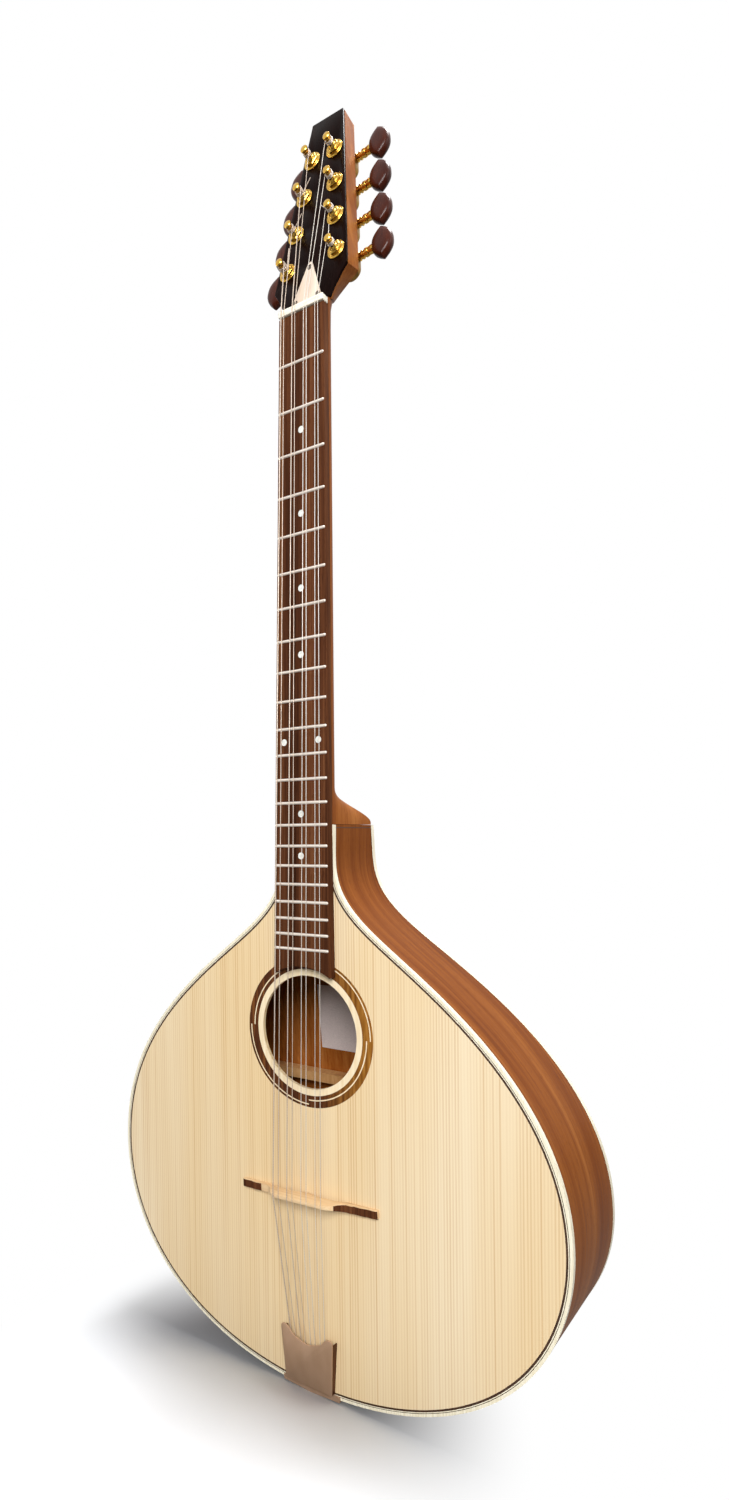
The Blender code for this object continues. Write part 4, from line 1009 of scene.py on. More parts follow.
# %% A material that measures the distance from the middle of the hole
def make_rosette():
    """Rosewood and pale veneer, inlaid and sanded level."""
    finish, tree, shader = new_finish(
        "rosewood and maple inlay, sanded level", Specular_IOR_Level=0.2, Roughness=0.35
    )
    place = add_node(tree, "ShaderNodeTexCoord")
    centred = add_node(
        tree,
        "ShaderNodeMapping",
        inputs={"Vector": place.outputs["Object"], "Location": (0, 0, -HOLE_Z), "Scale": (1, 0, 1)},
    )
    radius = add_node(
        tree,
        "ShaderNodeVectorMath",
        settings={"operation": "LENGTH"},
        inputs={0: centred.outputs["Vector"]},
    )
    axes = add_node(tree, "ShaderNodeSeparateXYZ", inputs={0: centred.outputs["Vector"]})
    product = add_node(
        tree,
        "ShaderNodeMath",
        settings={"operation": "MULTIPLY"},
        inputs={0: axes.outputs["X"], 1: axes.outputs["Z"]},
    )
    far_quarter = add_node(
        tree,
        "ShaderNodeMath",
        settings={"operation": "GREATER_THAN"},
        inputs={0: product.outputs[0], 1: 0.0},
    )
    lane = add_node(
        tree,
        "ShaderNodeMapRange",
        inputs={0: far_quarter.outputs[0], 1: 0.0, 2: 1.0, 3: 50.2 * MM, 4: 53.4 * MM},
    )
    on_line = add_node(
        tree,
        "ShaderNodeMath",
        settings={"operation": "COMPARE"},
        inputs={0: radius.outputs["Value"], 1: lane.outputs[0], 2: 0.45 * MM},
    )
    on_ring = add_node(
        tree,
        "ShaderNodeMath",
        settings={"operation": "LESS_THAN"},
        inputs={0: radius.outputs["Value"], 1: 46.84 * MM},
    )
    pale = add_node(
        tree,
        "ShaderNodeMath",
        settings={"operation": "MAXIMUM"},
        inputs={0: on_line.outputs[0], 1: on_ring.outputs[0]},
    )
    streak = add_node(
        tree,
        "ShaderNodeTexNoise",
        inputs={"Vector": stretched(tree, "Object", (420, 1, 30)), "Scale": 1.0, "Detail": 4.0},
    )
    dark_wood = add_node(
        tree,
        "ShaderNodeValToRGB",
        settings={"stops": [(0.3, "#341808"), (0.5, "#522b12"), (0.7, "#7a4a22")]},
        inputs={"Fac": streak.outputs["Fac"]},
    )
    # painted light: a paler, more golden copy of the rosewood, which stands in for the lamp falling on the ring's right
    # side
    lit_rosewood = add_node(
        tree,
        "ShaderNodeValToRGB",
        settings={"stops": [(0.3, "#70400f"), (0.5, "#94601f"), (0.7, "#b58038")]},
        inputs={"Fac": streak.outputs["Fac"]},
    )
    painted_light_share = add_node(
        tree,
        "ShaderNodeMapRange",
        inputs={0: axes.outputs["X"], 1: 12 * MM, 2: 50 * MM, 3: 0.0, 4: 0.9},
    )
    # painted light: the ring is mixed from its own dark rosewood towards the lit copy as x grows
    rosewood_with_painted_light = add_node(
        tree,
        "ShaderNodeMix",
        settings={"data_type": "RGBA", "blend_type": "MIX"},
        inputs={0: painted_light_share.outputs[0], 6: dark_wood.outputs[0], 7: lit_rosewood.outputs[0]},
    )
    pale_wood = add_node(
        tree,
        "ShaderNodeValToRGB",
        settings={"stops": [(0.3, "#e6cfa6"), (0.7, "#f3e4c6")]},
        inputs={"Fac": streak.outputs["Fac"]},
    )
    colour = add_node(
        tree,
        "ShaderNodeMix",
        settings={"data_type": "RGBA", "blend_type": "MIX"},
        inputs={0: pale.outputs[0], 6: rosewood_with_painted_light.outputs[2], 7: pale_wood.outputs[0]},
    )
    tree.links.new(colour.outputs[2], shader.inputs["Base Color"])
    return finish


ROSETTE = make_rosette()
print("made", ROSETTE.name)

# %% The flush ring that carries it
ring_profile = [
    (HOLE_RADIUS, TOP_Y - PROUD),
    (55.6 * MM, TOP_Y - PROUD),
    (55.6 * MM, TOP_Y + 1.2 * MM),
    (HOLE_RADIUS, TOP_Y + 1.2 * MM),
    (HOLE_RADIUS, TOP_Y - PROUD),
]
rosette = turned(ring_profile, 144, Matrix.Translation((0, 0, HOLE_Z)))
piece("rosette_ring", rosette, ROSETTE, instead_of=["rosette"])
print("rosette from %.1f to %.1f mm" % (HOLE_RADIUS * 1000, 55.6))

# %% [markdown]
# ## Inside the body
# Through the hole one sees the back with its brace, and a paper label. The braces, linings and
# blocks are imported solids, and get a sawn cedar finish. The label is left blank.

# %% Finishes for the solids that stay, and a blank label
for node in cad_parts.values():
    if node.name.startswith(("brace", "lining", "neck_block", "tail_block")):
        node.data.materials.clear()
        node.data.materials.append(INNER_WOOD)
label_low, label_high = (-40 * MM, HOLE_Z - 33 * MM), (28 * MM, HOLE_Z + 21 * MM)
paper = plate(
    [label_low, (label_high[0], label_low[1]), label_high, (label_low[0], label_high[1])],
    lambda z: back_y(z) - 3.1 * MM,
    lambda z: back_y(z) - 2.7 * MM,
)
piece("paper_label", paper, PAPER)
print("label %.0f by %.0f mm" % ((label_high[0] - label_low[0]) * 1000, (label_high[1] - label_low[1]) * 1000))

# %% [markdown]
# ## Fingerboard and frets
# The fingerboard is a long wedge of rosewood. It is glued to the neck, floats over the top and ends
# in a hollow curve round the rosette. A fret is a wire with a round crown, pressed into a saw cut,
# and its ends are filed round so that they don't catch the hand. Each crown here is a short skin over
# four half rounds, because its bright line in every lamp is what shows the neck's length.

# %% Fingerboard
BOARD_TOP = 1.0 * MM


def board_half(z):
    """Half of the fingerboard's width at a height in the neck's frame."""
    return 19.94 * MM + 4.45 * MM * z / fret_z(FRET_COUNT)


hole_on_neck = (NECK.inverted() @ Vector((0, TOP_Y, HOLE_Z))).z
joint = fret_z(BODY_FRET)
end_radius = 49.6 * MM
corner = hole_on_neck + (end_radius**2 - board_half(hole_on_neck) ** 2) ** 0.5
right_edge = [(board_half(z), z) for z in (-GAP, joint, corner)]
swing = [board_half(corner) * cos(pi * k / 24) for k in range(1, 24)]
end_curve = [(x, hole_on_neck + (end_radius**2 - x * x) ** 0.5) for x in swing]
board = plate(
    right_edge + end_curve + [(-x, z) for x, z in reversed(right_edge)],
    lambda z: BOARD_TOP,
    lambda z: BOARD_RISE + ((joint - z) * tan(radians(1.2)) - GAP if z < joint else 0.0),
)
soften(board, 0.35 * MM)
board.transform(NECK)
piece("rosewood_board", board, ROSEWOOD, instead_of=["fingerboard"])
print("board ends %.1f mm above the hole's middle" % ((corner - hole_on_neck) * 1000))


# %% Frets
def fret(number):
    """One fret: half rounds that shrink at both ends."""
    z, reach = fret_z(number), board_half(fret_z(number))
    rings = []
    for x, size in ((-reach + 0.3 * MM, 0.45), (-reach + 1.0 * MM, 1.0), (reach - 1.0 * MM, 1.0), (reach - 0.3 * MM, 0.45)):
        arc = [pi * k / 8 for k in range(9)]
        rings.append([
            (x, BOARD_TOP + 0.1 * MM - 1.1 * MM * size * sin(a), z + 1.1 * MM * size * cos(a)) for a in arc
        ])
    return skin(rings)


frets = joined(*[fret(number) for number in range(1, FRET_COUNT + 1)])
frets.transform(NECK)
piece("fret_wires", frets, NICKEL)
print("frets:", FRET_COUNT, "first spaced %.1f mm" % (-fret_z(1) * 1000))

# %% Pearl dots on the board, and small ones on its edge for the player
dots = []
side_dots = []
for number in (3, 5, 7, 9, 12, 15, 17):
    z = (fret_z(number) + fret_z(number - 1)) / 2
    for x in ((-15.3 * MM, 15.3 * MM) if number == 12 else (0,)):
        dots.append(bar(2.5 * MM, (x, BOARD_TOP - PROUD, z), (x, BOARD_TOP + 1 * MM, z), 32))
    edge = board_half(z)
    place_y = (BOARD_TOP + BOARD_RISE) / 2
    side_dots.append(bar(1 * MM, (-edge - PROUD, place_y, z), (-edge + 1 * MM, place_y, z), 20))
dots = joined(*dots, *side_dots)
dots.transform(NECK)
piece("pearl_dots", dots, PEARL)
print("dots:", 8, "and", len(side_dots), "on the edge")

# %% [markdown]
# ## Nut
# The strings cross a bone nut where the headstock begins. It is filed to a round back edge, so that
# each string leaves it cleanly. A plate with softened edges is enough, for the strings hide the slots.

# %% Nut
NUT_LENGTH = 5.0 * MM
half = 19.94 * MM
bm = plate(
    [(-half, GAP), (half, GAP), (half, GAP + NUT_LENGTH), (-half, GAP + NUT_LENGTH)],
    lambda z: -0.8 * MM,
    lambda z: BOARD_RISE,
)
soften(bm, 0.9 * MM, segments=4)
bm.transform(NECK)
piece("bone_nut", bm, BONE, instead_of=["nut"])
print("nut %.1f mm wide" % (half * 2000))

# %% [markdown]
# ## Headstock
# The headstock is one piece with the neck, with a thin black veneer on its face. It flares from the
# nut and then narrows to the tip. A small triangular cover hides the end of the truss rod.

# %% Headstock veneer
TUNER_PLACES = [(21.8 * MM, 44.0 * MM), (17.7 * MM, 74.4 * MM), (13.8 * MM, 104.8 * MM), (10.1 * MM, 135.7 * MM)]
WIDE_AT = 29.9 * MM


def head_half(up):
    """Half of the headstock's width between the nut and its widest place."""
    return 19.94 * MM + 12.66 * MM * ((up - 3 * MM) / (WIDE_AT - 3 * MM)) ** 1.5


flare = [7.1 * MM + (WIDE_AT - 7.1 * MM) * k / 12 for k in range(13)]
right = [(head_half(up), up) for up in flare] + [(14 * MM, 170 * MM)]
bores = [(side * x, z, 4.7 * MM) for x, z in TUNER_PLACES for side in (-1, 1)]
veneer = plate(right + [(-x, z) for x, z in reversed(right)], lambda z: 0.0, lambda z: 2.0 * MM, holes=bores)
soften(veneer, 0.3 * MM, least=60)
veneer.transform(HEAD)
piece("ebony_veneer", veneer, EBONY, instead_of=["head_overlay"])
print("veneer flares to %.1f mm" % (head_half(WIDE_AT) * 2000))

# %% Truss rod cover with three screws
tip = [(2.2 * MM * sin(a), 40.8 * MM + 2.2 * MM * cos(a)) for a in [radians(k) for k in range(-66, 67, 12)]]
cover = plate([(-14 * MM, 8.5 * MM)] + tip + [(14 * MM, 8.5 * MM)], lambda z: -1.5 * MM, lambda z: -GAP)
soften(cover, 0.35 * MM)
cover.transform(HEAD)
piece("rod_cover", cover, PALE_MAPLE, instead_of=["truss_cover"])
screw_profile = in_mm(
    (0, -0.5), (0.5, -0.42), (0.55, -0.1), (0.8, -0.1), (0.9, -0.45), (1.3, -0.4), (1.5, 0.0), (1.5, 0.6), (0, 0.6),
)
screws = joined(*[
    turned(screw_profile, 24, HEAD @ Matrix.Translation((x * MM, -1.5 * MM, z * MM)))
    for x, z in ((0, 38.4), (-10.0, 12.2), (10.0, 12.2))
])
piece("cover_screws", screws, STEEL)
# painted shade: a dark ring, flush with the cover, round each screw head stands for the shade in its countersink
shade_ring_profile = in_mm((1.5, -0.04), (2.15, -0.04), (2.15, 0.4), (1.5, 0.4), (1.5, -0.04))
shade_rings = joined(*[
    turned(shade_ring_profile, 24, HEAD @ Matrix.Translation((x * MM, -1.5 * MM, z * MM)))
    for x, z in ((0, 38.4), (-10.0, 12.2), (10.0, 12.2))
])
piece("screw_shade_rings", shade_rings, DARK_FIBRE_AND_SHADE)
print("cover and screws made")

# %% [markdown]
# ## The neck
# The neck is carved from one block: a round back, a heel that sweeps down to the full depth of the
# body, and the headstock behind. Stations of a lofted skin do what the carver's templates do. The
# profile goes from an ellipse, easy in the hand, to a near box at the heel, which meets the body.

# %% Neck skin
def neck_ring(half, front, depth, squareness, steps=24):
    """(x, y) points round the neck's back, an ellipse at squareness 0 and a box at 1."""
    points = []
    for k in range(steps + 1):
        a = pi * k / steps
        reach = max(abs(cos(a)), sin(a))
        across = cos(a) * (1 + (1 / reach - 1) * squareness)
        deep = sin(a) * (1 + (1 / reach - 1) * squareness)
        points.append((half * across, front + depth * deep))
    return points


rings = []
face = BOARD_RISE + GAP
for above in [0.3 * MM + 26.7 * MM * k / 20 for k in range(21)]:
    share = min(max((27 * MM - above) / (24 * MM), 0.0), 1.0)
    swept = share * share * (3 - 2 * share)
    depth = 15.5 * MM + (57 * MM - GAP - 15.5 * MM) * swept
    ring = neck_ring(min(board_half(joint + above), 24 * MM), face, depth, swept * 0.9)
    rings.append([NECK @ Vector((x, y, joint + above)) for x, y in ring])
for point in rings[0]:
    point.z = JOINT_Z + GAP
for share in (0.8, 0.6, 0.4, 0.2, 0.08, 0.04):
    ring = neck_ring(board_half(joint * share), face, 13.5 * MM + 2 * MM * share, 0.0)
    rings.append([NECK @ Vector((x, y, joint * share)) for x, y in ring])
ring = neck_ring(half, face, 14.5 * MM, 0.0)
rings.append([NECK @ Vector((x, y, 0)) for x, y in ring])

# %% Headstock end of the skin, its caps and the bores for the tuners
VENEER_BACK = 2.3 * MM
ring = neck_ring(half, -0.5 * MM, 16.3 * MM, 0.1)
rings.append([HEAD @ Vector((x, y, 5.6 * MM + 9 * MM * (y + 0.5 * MM) / (16.3 * MM))) for x, y in ring])
for k in range(13):
    share = k / 12
    up = 6.2 * MM + (WIDE_AT - 6.2 * MM) * share
    ring = neck_ring(head_half(up), VENEER_BACK, 13.5 * MM, 1 - 0.82 * (1 - share) ** 2)
    climb = 9 * MM - 4 * MM * share**1.7
    rings.append([HEAD @ Vector((x, y, up + climb * (y - VENEER_BACK) / (13.5 * MM))) for x, y in ring])
ring = neck_ring(14 * MM, VENEER_BACK, 13.5 * MM, 1.0)
rings.append([HEAD @ Vector((x, y, 170 * MM)) for x, y in ring])
neck = piece("carved_neck", skin(rings), NECK_WOOD, instead_of=["neck"])
drills = []
for x, z, radius in bores:
    drill = bar(radius, (x, -10 * MM, z), (x, 30 * MM, z), 32)
    drill.transform(HEAD)
    drills.append(drill)
cut_away(neck, *drills)
print("neck skin over", len(rings), "stations, with", len(drills), "bores")

# %% [markdown]
# ## Geared tuners
# Each tuner has a cast housing behind the headstock, a threaded bushing with a washer and a hexagon
# nut in front, a post that winds the string, and a button whose worm turns the post's wheel. All but
# the button are gold-plated. Turned parts are made as on a lathe, by spinning half of their section.

# %% The frame of a tuner, and its two turned rings
EDGE_ANGLE = atan2(18.6, 140.1)
WORM_Y, WORM_UP = 20.6 * MM, 7.3 * MM


BUSHING = in_mm(
    (3.35, 18.0), (3.35, -3.2), (3.5, -3.4), (3.95, -3.4), (4.25, -3.15), (4.4, -2.8), (4.4, -1.4),
    (5.75, -1.4), (6.0, -1.2), (6.1, -0.95), (6.7, -0.9), (7.0, -0.7), (7.1, -0.5), (7.1, -0.32),
    (4.4, -0.32), (4.4, 18.0), (3.35, 18.0),
)
HEX_NUT = in_mm((4.35, -1.3), (5.6, -1.3), (5.6, -2.6), (5.2, -2.95), (4.35, -2.95), (4.35, -1.3))
COLLAR = in_mm(
    (2.0, 5.0), (3.0, 5.0), (3.0, 7.3), (3.2, 7.6), (3.2, 8.6), (2.6, 8.9), (2.6, 10.2), (3.2, 10.5),
    (3.2, 11.5), (2.6, 11.8), (2.6, 13.1), (3.2, 13.4), (3.2, 15.4), (3.0, 15.7), (2.0, 15.7), (2.0, 5.0),
)


def tuner_frame(side, x, z):
    """x across the headstock, y into it along the post, z along its edge to the tip."""
    return HEAD @ Matrix.Translation((side * x, 0, z)) @ Matrix.Rotation(-EDGE_ANGLE * side, 4, "Y")


def along_shaft(side):
    """Turns a shape about y into one about the button's shaft."""
    return Matrix.Translation((0, WORM_Y, WORM_UP)) @ Matrix.Rotation(-side * pi / 2, 4, "Z")


print("worm %.1f mm above its wheel" % (WORM_UP * 1000))


# %% Housing: a rounded casting with room for the wheel and the worm
def make_housing(label, side, frame_of_tuner):
    wide, high, corner = 7.1 * MM, 11.8 * MM, 2.6 * MM
    outline = [(wide * cos(a), -wide * sin(a)) for a in [pi * k / 24 for k in range(25)]]
    for s in (-1, 1):
        arc = [pi / 2 * k / 6 for k in range(7)]
        turn = arc if s > 0 else arc[::-1]
        if s < 0:
            outline += [(-wide + corner - corner * cos(a), high - corner + corner * sin(a)) for a in arc]
        else:
            outline += [(wide - corner + corner * sin(a), high - corner + corner * cos(a)) for a in turn]
    body = plate(outline, lambda z: 16.1 * MM, lambda z: 25.1 * MM)
    edges = [e for e in body.edges if all(v.co.y > 25 * MM for v in e.verts) and e.calc_face_angle(0) > 0.5]
    bmesh.ops.bevel(
        body, geom=edges, offset=2.0 * MM, offset_type="OFFSET", segments=4, profile=0.5, affect="EDGES",
        clamp_overlap=True, material=-1,
    )
    body.transform(frame_of_tuner)
    # The housing's darker gold is partly its matt casting and partly painted shade.
    housing = piece("housing_" + label, body, SHADED_CAST_GOLD, instead_of=["tuner_housing_" + label])
    rooms = [
        bar(3.3 * MM, (0, 10 * MM, 0), (0, WORM_Y, 0), 24),
        bar(5.1 * MM, (0, WORM_Y - 2.1 * MM, 0), (0, WORM_Y + 2.1 * MM, 0), 24),
        bar(2.5 * MM, (-3.9 * MM, WORM_Y, WORM_UP), (3.9 * MM, WORM_Y, WORM_UP), 16),
        bar(2.0 * MM, (0, WORM_Y, WORM_UP), (side * 20 * MM, WORM_Y, WORM_UP), 16),
    ]
    for room in rooms:
        room.transform(frame_of_tuner)
    cut_away(housing, *rooms)
    bushing = turned(BUSHING, 40, frame_of_tuner)
    nut = turned(HEX_NUT, 6, frame_of_tuner)
    collar = turned(COLLAR, 24, frame_of_tuner @ along_shaft(side))
    cap = turned(in_mm((0, 25.9), (2.2, 25.8), (2.7, 25.5), (2.8, 25.0), (0, 25.0)), 24, frame_of_tuner)
    piece("bushing_" + label, joined(bushing, nut, collar, cap), GOLD, sharp=30)


# %% Post with its toothed wheel
POST = in_mm(
    (0, -12.8), (1.5, -12.8), (2.4, -12.5), (2.9, -12.0), (3.0, -11.4), (2.9, -10.9), (2.5, -10.3),
    (2.15, -9.8), (2.1, -9.4), (2.1, -4.7), (2.25, -4.3), (2.7, -3.6), (3.0, -3.2), (3.0, 20.6), (0, 20.6),
)


def make_post(label, frame_of_tuner):
    post = turned(POST, 32, frame_of_tuner)
    teeth = []
    for k in range(14):
        for share, size in ((-0.3, 0.86), (-0.14, 1.0), (0.14, 1.0), (0.3, 0.86)):
            a = 2 * pi * (k + share) / 14
            teeth.append((4.8 * MM * size * cos(a), 4.8 * MM * size * sin(a)))
    wheel = plate(teeth, lambda z: WORM_Y - 1.8 * MM, lambda z: WORM_Y + 1.8 * MM)
    wheel.transform(frame_of_tuner)
    piece(
        "post_" + label, joined(post, wheel), GOLD,
        body="post_" + label, instead_of=["tuner_post_" + label],
    )


# %% Button: a pointed oval with a rounded rim, on its gold shaft
BUTTON_LEVELS = (
    (-1.0, 0.35), (-0.96, 0.6), (-0.86, 0.8), (-0.68, 0.91), (-0.4, 0.975), (0.0, 1.0),
    (0.4, 0.975), (0.68, 0.91), (0.86, 0.8), (0.96, 0.6), (1.0, 0.35),
)


def make_button(label, side, frame_of_tuner):
    place = frame_of_tuner @ Matrix.Translation((0, WORM_Y, WORM_UP))
    rings = []
    for height, share in BUTTON_LEVELS:
        ring = []
        for k in range(48):
            a = 2 * pi * k / 48
            wide = (1 - abs(sin(a)) ** 2.5) * (1 if cos(a) > 0 else -1)
            across, up = 8.6 * MM * wide * share, 13.4 * MM * sin(a) * share
            ring.append(place @ Vector((side * (27.6 * MM + across), 4.4 * MM * height, up)))
        rings.append(ring)
    body = "button_" + label
    oval = skin(rings)
    piece("oval_" + label, oval, BUTTON_WOOD, body=body, instead_of=["tuner_button_" + label])
    shaft = turned(in_mm((0, -3.2), (1.7, -3.2), (1.7, 22), (0, 22)), 20, frame_of_tuner @ along_shaft(side))
    worm = turned(in_mm((0, -3.6), (2.2, -3.6), (2.2, 3.6), (0, 3.6)), 20, frame_of_tuner @ along_shaft(side))
    ferrule = in_mm((0, 16.0), (2.6, 16.0), (2.9, 16.3), (3.0, 17.4), (3.2, 18.2), (3.2, 21), (0, 21))
    ferrule = turned(ferrule, 24, frame_of_tuner @ along_shaft(side))
    piece("shaft_" + label, joined(shaft, worm, ferrule), GOLD, body=body)


for side, word in ((-1, "left"), (1, "right")):
    for number, (x, z) in enumerate(TUNER_PLACES, start=1):
        label = "%s_%d" % (word, number)
        make_housing(label, side, tuner_frame(side, x, z))
        make_post(label, tuner_frame(side, x, z))
        make_button(label, side, tuner_frame(side, x, z))
print("tuners:", 2 * len(TUNER_PLACES))

# %% [markdown]
# ## Bridge
# The bridge of this family isn't glued: the strings hold it on the top, and it is moved to tune the
# octaves. It is a thin maple arch with two feet, high in the middle, and its low wings carry dark
# caps. The shape is drawn as seen from the nut, extruded by the foot's width and leant to a ridge.

# %% Bridge
BRIDGE_SHAPE = in_mm(
    (0, 14.4), (19.5, 14.3), (24.0, 13.6), (26.8, 11.8), (28.5, 9.2), (30.0, 7.0), (31.8, 5.6), (33.5, 4.4),
    (35.5, 3.5), (38.0, 3.7), (40.5, 3.5), (42.0, 2.8), (44.5, 3.0), (47.0, 3.1), (50.0, 2.8), (52.0, 2.3),
    (56.0, 2.5), (59.0, 2.4), (60.4, 1.8), (60.8, 0.8),
)
BRIDGE_FOOT, BRIDGE_RIDGE, BRIDGE_LEAN = 6.0 * MM, 2.6 * MM, 0.4 * MM
BRIDGE_HEIGHT = BRIDGE_SHAPE[0][1]
bridge_z = (NECK @ Vector((0, 0, -SCALE_LENGTH))).z - 2.5 * MM
BRIDGE_PLACE = Matrix.Translation((-1.6 * MM, TOP_Y, bridge_z)) @ Matrix.Rotation(radians(-2), 4, "Y")


def stand_up(bm, lowest):
    """Stands a plate drawn as (across, height) on the top, and leans its faces to the ridge."""
    bm.transform(Matrix.Rotation(pi / 2, 4, "X"))
    for vert in bm.verts:
        share = max(0.0, (-vert.co.y - 3 * MM) / (BRIDGE_HEIGHT - 3 * MM))
        if vert.co.z > 0:
            vert.co.z -= share * BRIDGE_LEAN
        else:
            vert.co.z += share * (BRIDGE_FOOT - BRIDGE_RIDGE - BRIDGE_LEAN)
        vert.co.y -= lowest
    bm.transform(BRIDGE_PLACE)


arch = [pi * k / 18 for k in range(19)]
right = list(BRIDGE_SHAPE) + [(60.8 * MM, 0.0)]
right += [(18.5 * MM + 15.5 * MM * cos(a), 2.8 * MM * sin(a)) for a in arch]
outline = right + [(-x, height) for x, height in reversed(right) if x > 0]
bridge = plate(outline, lambda z: -BRIDGE_FOOT / 2, lambda z: BRIDGE_FOOT / 2)
soften(bridge, 0.25 * MM, least=50)
stand_up(bridge, GAP)
piece("maple_bridge", bridge, MAPLE, instead_of=["bridge"])

# %% Dark caps on the wings
caps = []
for side, start in ((-1, 41 * MM), (1, 27 * MM)):
    crest = [(x, height) for x, height in BRIDGE_SHAPE if start < x < 60.6 * MM]
    outline = [(side * x, height + 0.25 * MM) for x, height in crest]
    outline += [(side * x, height - 0.6 * MM) for x, height in reversed(crest)]
    cap = plate(outline, lambda z: -3.1 * MM, lambda z: 2.3 * MM)
    stand_up(cap, GAP)
    caps.append(cap)
piece("wing_caps", joined(*caps), ROSEWOOD)
print("bridge %.0f mm long and %.1f mm high" % (121.6, BRIDGE_HEIGHT * 1000))

# %% [markdown]
# ## Tailpiece
# The strings hook on a bracket that is screwed round the tail, under a cover of brushed bronze. The
# cover is bent sheet: a face that climbs towards two ears, with side walls down to the top. Plates
# with softened edges make it, since it is the thin bright edge that says sheet metal.

# %% Cover and bracket
COVER = in_mm(
    (0, 36.7), (3.2, 37.3), (6.2, 38.2), (9.0, 39.2), (11.8, 40.3), (13.0, 41.3), (15.2, 44.0), (16.4, 45.1),
    (17.8, 46.0), (19.2, 46.5), (20.5, 46.6), (21.6, 46.3), (22.2, 45.8), (22.8, 44.8), (23.0, 43.6), (20.5, 4.6),
)


def cover_front(z):
    """The cover's outer face, which climbs away from the top towards its ears."""
    return TOP_Y - 5 * MM - 2.5 * MM * (z - FLOOR_Z - 4.6 * MM) / (42 * MM)


right = [(x, z + FLOOR_Z) for x, z in COVER]
sheet = plate(right + [(-x, z) for x, z in reversed(right[1:])], cover_front, lambda z: cover_front(z) + MM)
sheet = soften(sheet, 0.3 * MM, segments=2, least=50)
walls = []
for side in (-1, 1):
    wall = [(22.7, 42.4), (20.3, 4.8), (19.3, 4.8), (21.7, 42.4)]
    wall = [(side * x * MM, z * MM + FLOOR_Z) for x, z in wall]
    walls.append(plate(wall, lambda z: cover_front(z) + 0.2 * MM, level(-GAP)))
end = [(x * MM, z * MM + FLOOR_Z) for x, z in ((-20.1, 4.8), (20.1, 4.8), (20.1, 5.8), (-20.1, 5.8))]
end = plate(end, lambda z: cover_front(z) + 0.4 * MM, level(-1.9 * MM))
piece("bronze_cover", joined(sheet, end), BRONZE, instead_of=["tail_cover"])
# The side walls carry the darker copy of the bronze, which is painted shade.
piece("cover_walls", joined(*walls), SHADED_BRONZE)
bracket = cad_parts["tail_bracket"]
bracket.data.materials.clear()
bracket.data.materials.append(BRONZE)
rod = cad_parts["truss_rod"]
rod.data.materials.clear()
rod.data.materials.append(STEEL)
print("cover %.0f mm wide" % 46)

# %% [markdown]
# ## Strings
# Each string runs from its hook over the bridge and the nut to its post, winds round it three times
# and ends in a cut tip. A curve with a round bevel follows that route. It becomes a mesh, as the
# ribs of the wound strings need a UV map in metres.

# %% String routes
HOOK_Z = FLOOR_Z + 18.8 * MM + GAP
POST_ORDER = ["left_1", "left_2", "left_3", "left_4", "right_4", "right_3", "right_2", "right_1"]
TIPS = {
    "left_1": (0.5, -1.0, 15), "left_2": (7, -2, 8), "left_3": (7, -2, 7), "left_4": (-8, -2, 8),
    "right_1": (0, -2, 15), "right_2": (-5, -2, 5), "right_3": (3, -2, 3), "right_4": (2, -2, 4),
}
RADII = [0.45 * MM, 0.30 * MM, 0.38 * MM, 0.26 * MM, 0.26 * MM, 0.26 * MM, 0.23 * MM, 0.23 * MM]


def lanes(courses, pair):
    """Places across the neck of eight strings in four courses."""
    centres = [-courses[0], -courses[1], courses[1], courses[0]]
    return [(centre + side * pair / 2) * MM for centre in centres for side in (-1, 1)]


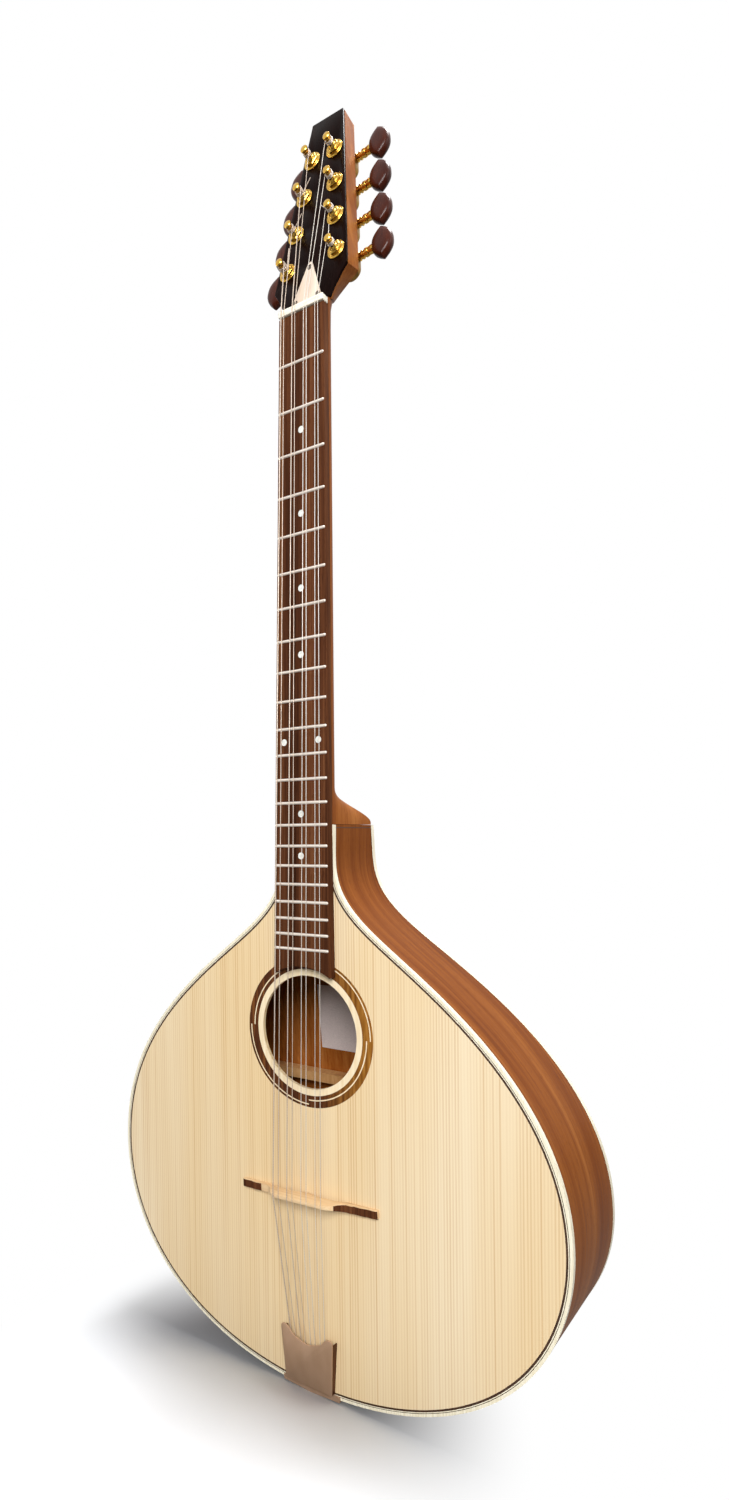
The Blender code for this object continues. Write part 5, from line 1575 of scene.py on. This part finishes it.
def string_route(k, radius, label):
    """Points from the hook over bridge and nut, round the post and to the cut tip."""
    route = [Vector((4 * MM * (k - 3.5), TOP_Y - GAP - 2.4 * MM, HOOK_Z))]
    ridge = BRIDGE_PLACE @ Vector((lanes((18.9, 6.3), 4.7)[k], 0, 1.3 * MM))
    ridge.y = TOP_Y - BRIDGE_HEIGHT - 2 * GAP - radius
    route.append(ridge)
    route.append(NECK @ Vector((lanes((15.1, 5.1), 2.5)[k], -0.8 * MM - GAP - radius, GAP + NUT_LENGTH / 2)))
    word, number = label.split("_")
    side = -1 if word == "left" else 1
    x, z = TUNER_PLACES[int(number) - 1]
    wrap, pitch = 2.1 * MM + GAP + radius, 2 * radius + 0.45 * MM
    for step in range(73):
        a = 2 * pi * step / 24
        y = -9.3 * MM + radius + pitch * step / 24
        route.append(HEAD @ Vector((side * x - side * wrap * cos(a), y, z + wrap * sin(a))))
    last = route[-1]
    reach = HEAD.to_3x3() @ Vector(TIPS[label]) * MM
    away = (last - route[-2]).normalized() * 1.5 * MM
    route += interpolate_bezier(last, last + away, last + reach * 0.5, last + reach, 8)[1:]
    return route


print("post order:", POST_ORDER)


# %% Strings
def make_wire_piece(name, route, radius, finish, node):
    """A tube along a route, with a UV map that counts metres along it."""
    curve = bpy.data.curves.new(name, "CURVE")
    curve.dimensions = "3D"
    spline = curve.splines.new("POLY")
    spline.points.add(len(route) - 1)
    for point, place in zip(spline.points, route):
        point.co = (*place, 1)
    curve.bevel_depth = radius
    curve.bevel_resolution = 2
    curve.use_fill_caps = True
    drawn = bpy.data.objects.new(name, curve)
    mesh = bpy.data.meshes.new_from_object(drawn)
    bm = bmesh.new()
    bm.from_mesh(mesh)
    bpy.data.objects.remove(drawn)
    bpy.data.meshes.remove(mesh)
    for layer in list(bm.loops.layers.uv):
        bm.loops.layers.uv.remove(layer)
    bmesh.ops.remove_doubles(bm, verts=bm.verts, dist=0.001 * MM)
    lay_along(bm, route)
    piece(name, bm, finish, instead_of=[node], sharp=50)


for k, label in enumerate(POST_ORDER):
    finish = WOUND_WIRE if k < 4 else PLAIN_WIRE
    make_wire_piece("wire_%d" % (k + 1), string_route(k, RADII[k], label), RADII[k], finish, "string_%d" % (k + 1))
print("strings:", len(POST_ORDER), "from %.2f to %.2f mm thick" % (2000 * min(RADII), 2000 * max(RADII)))
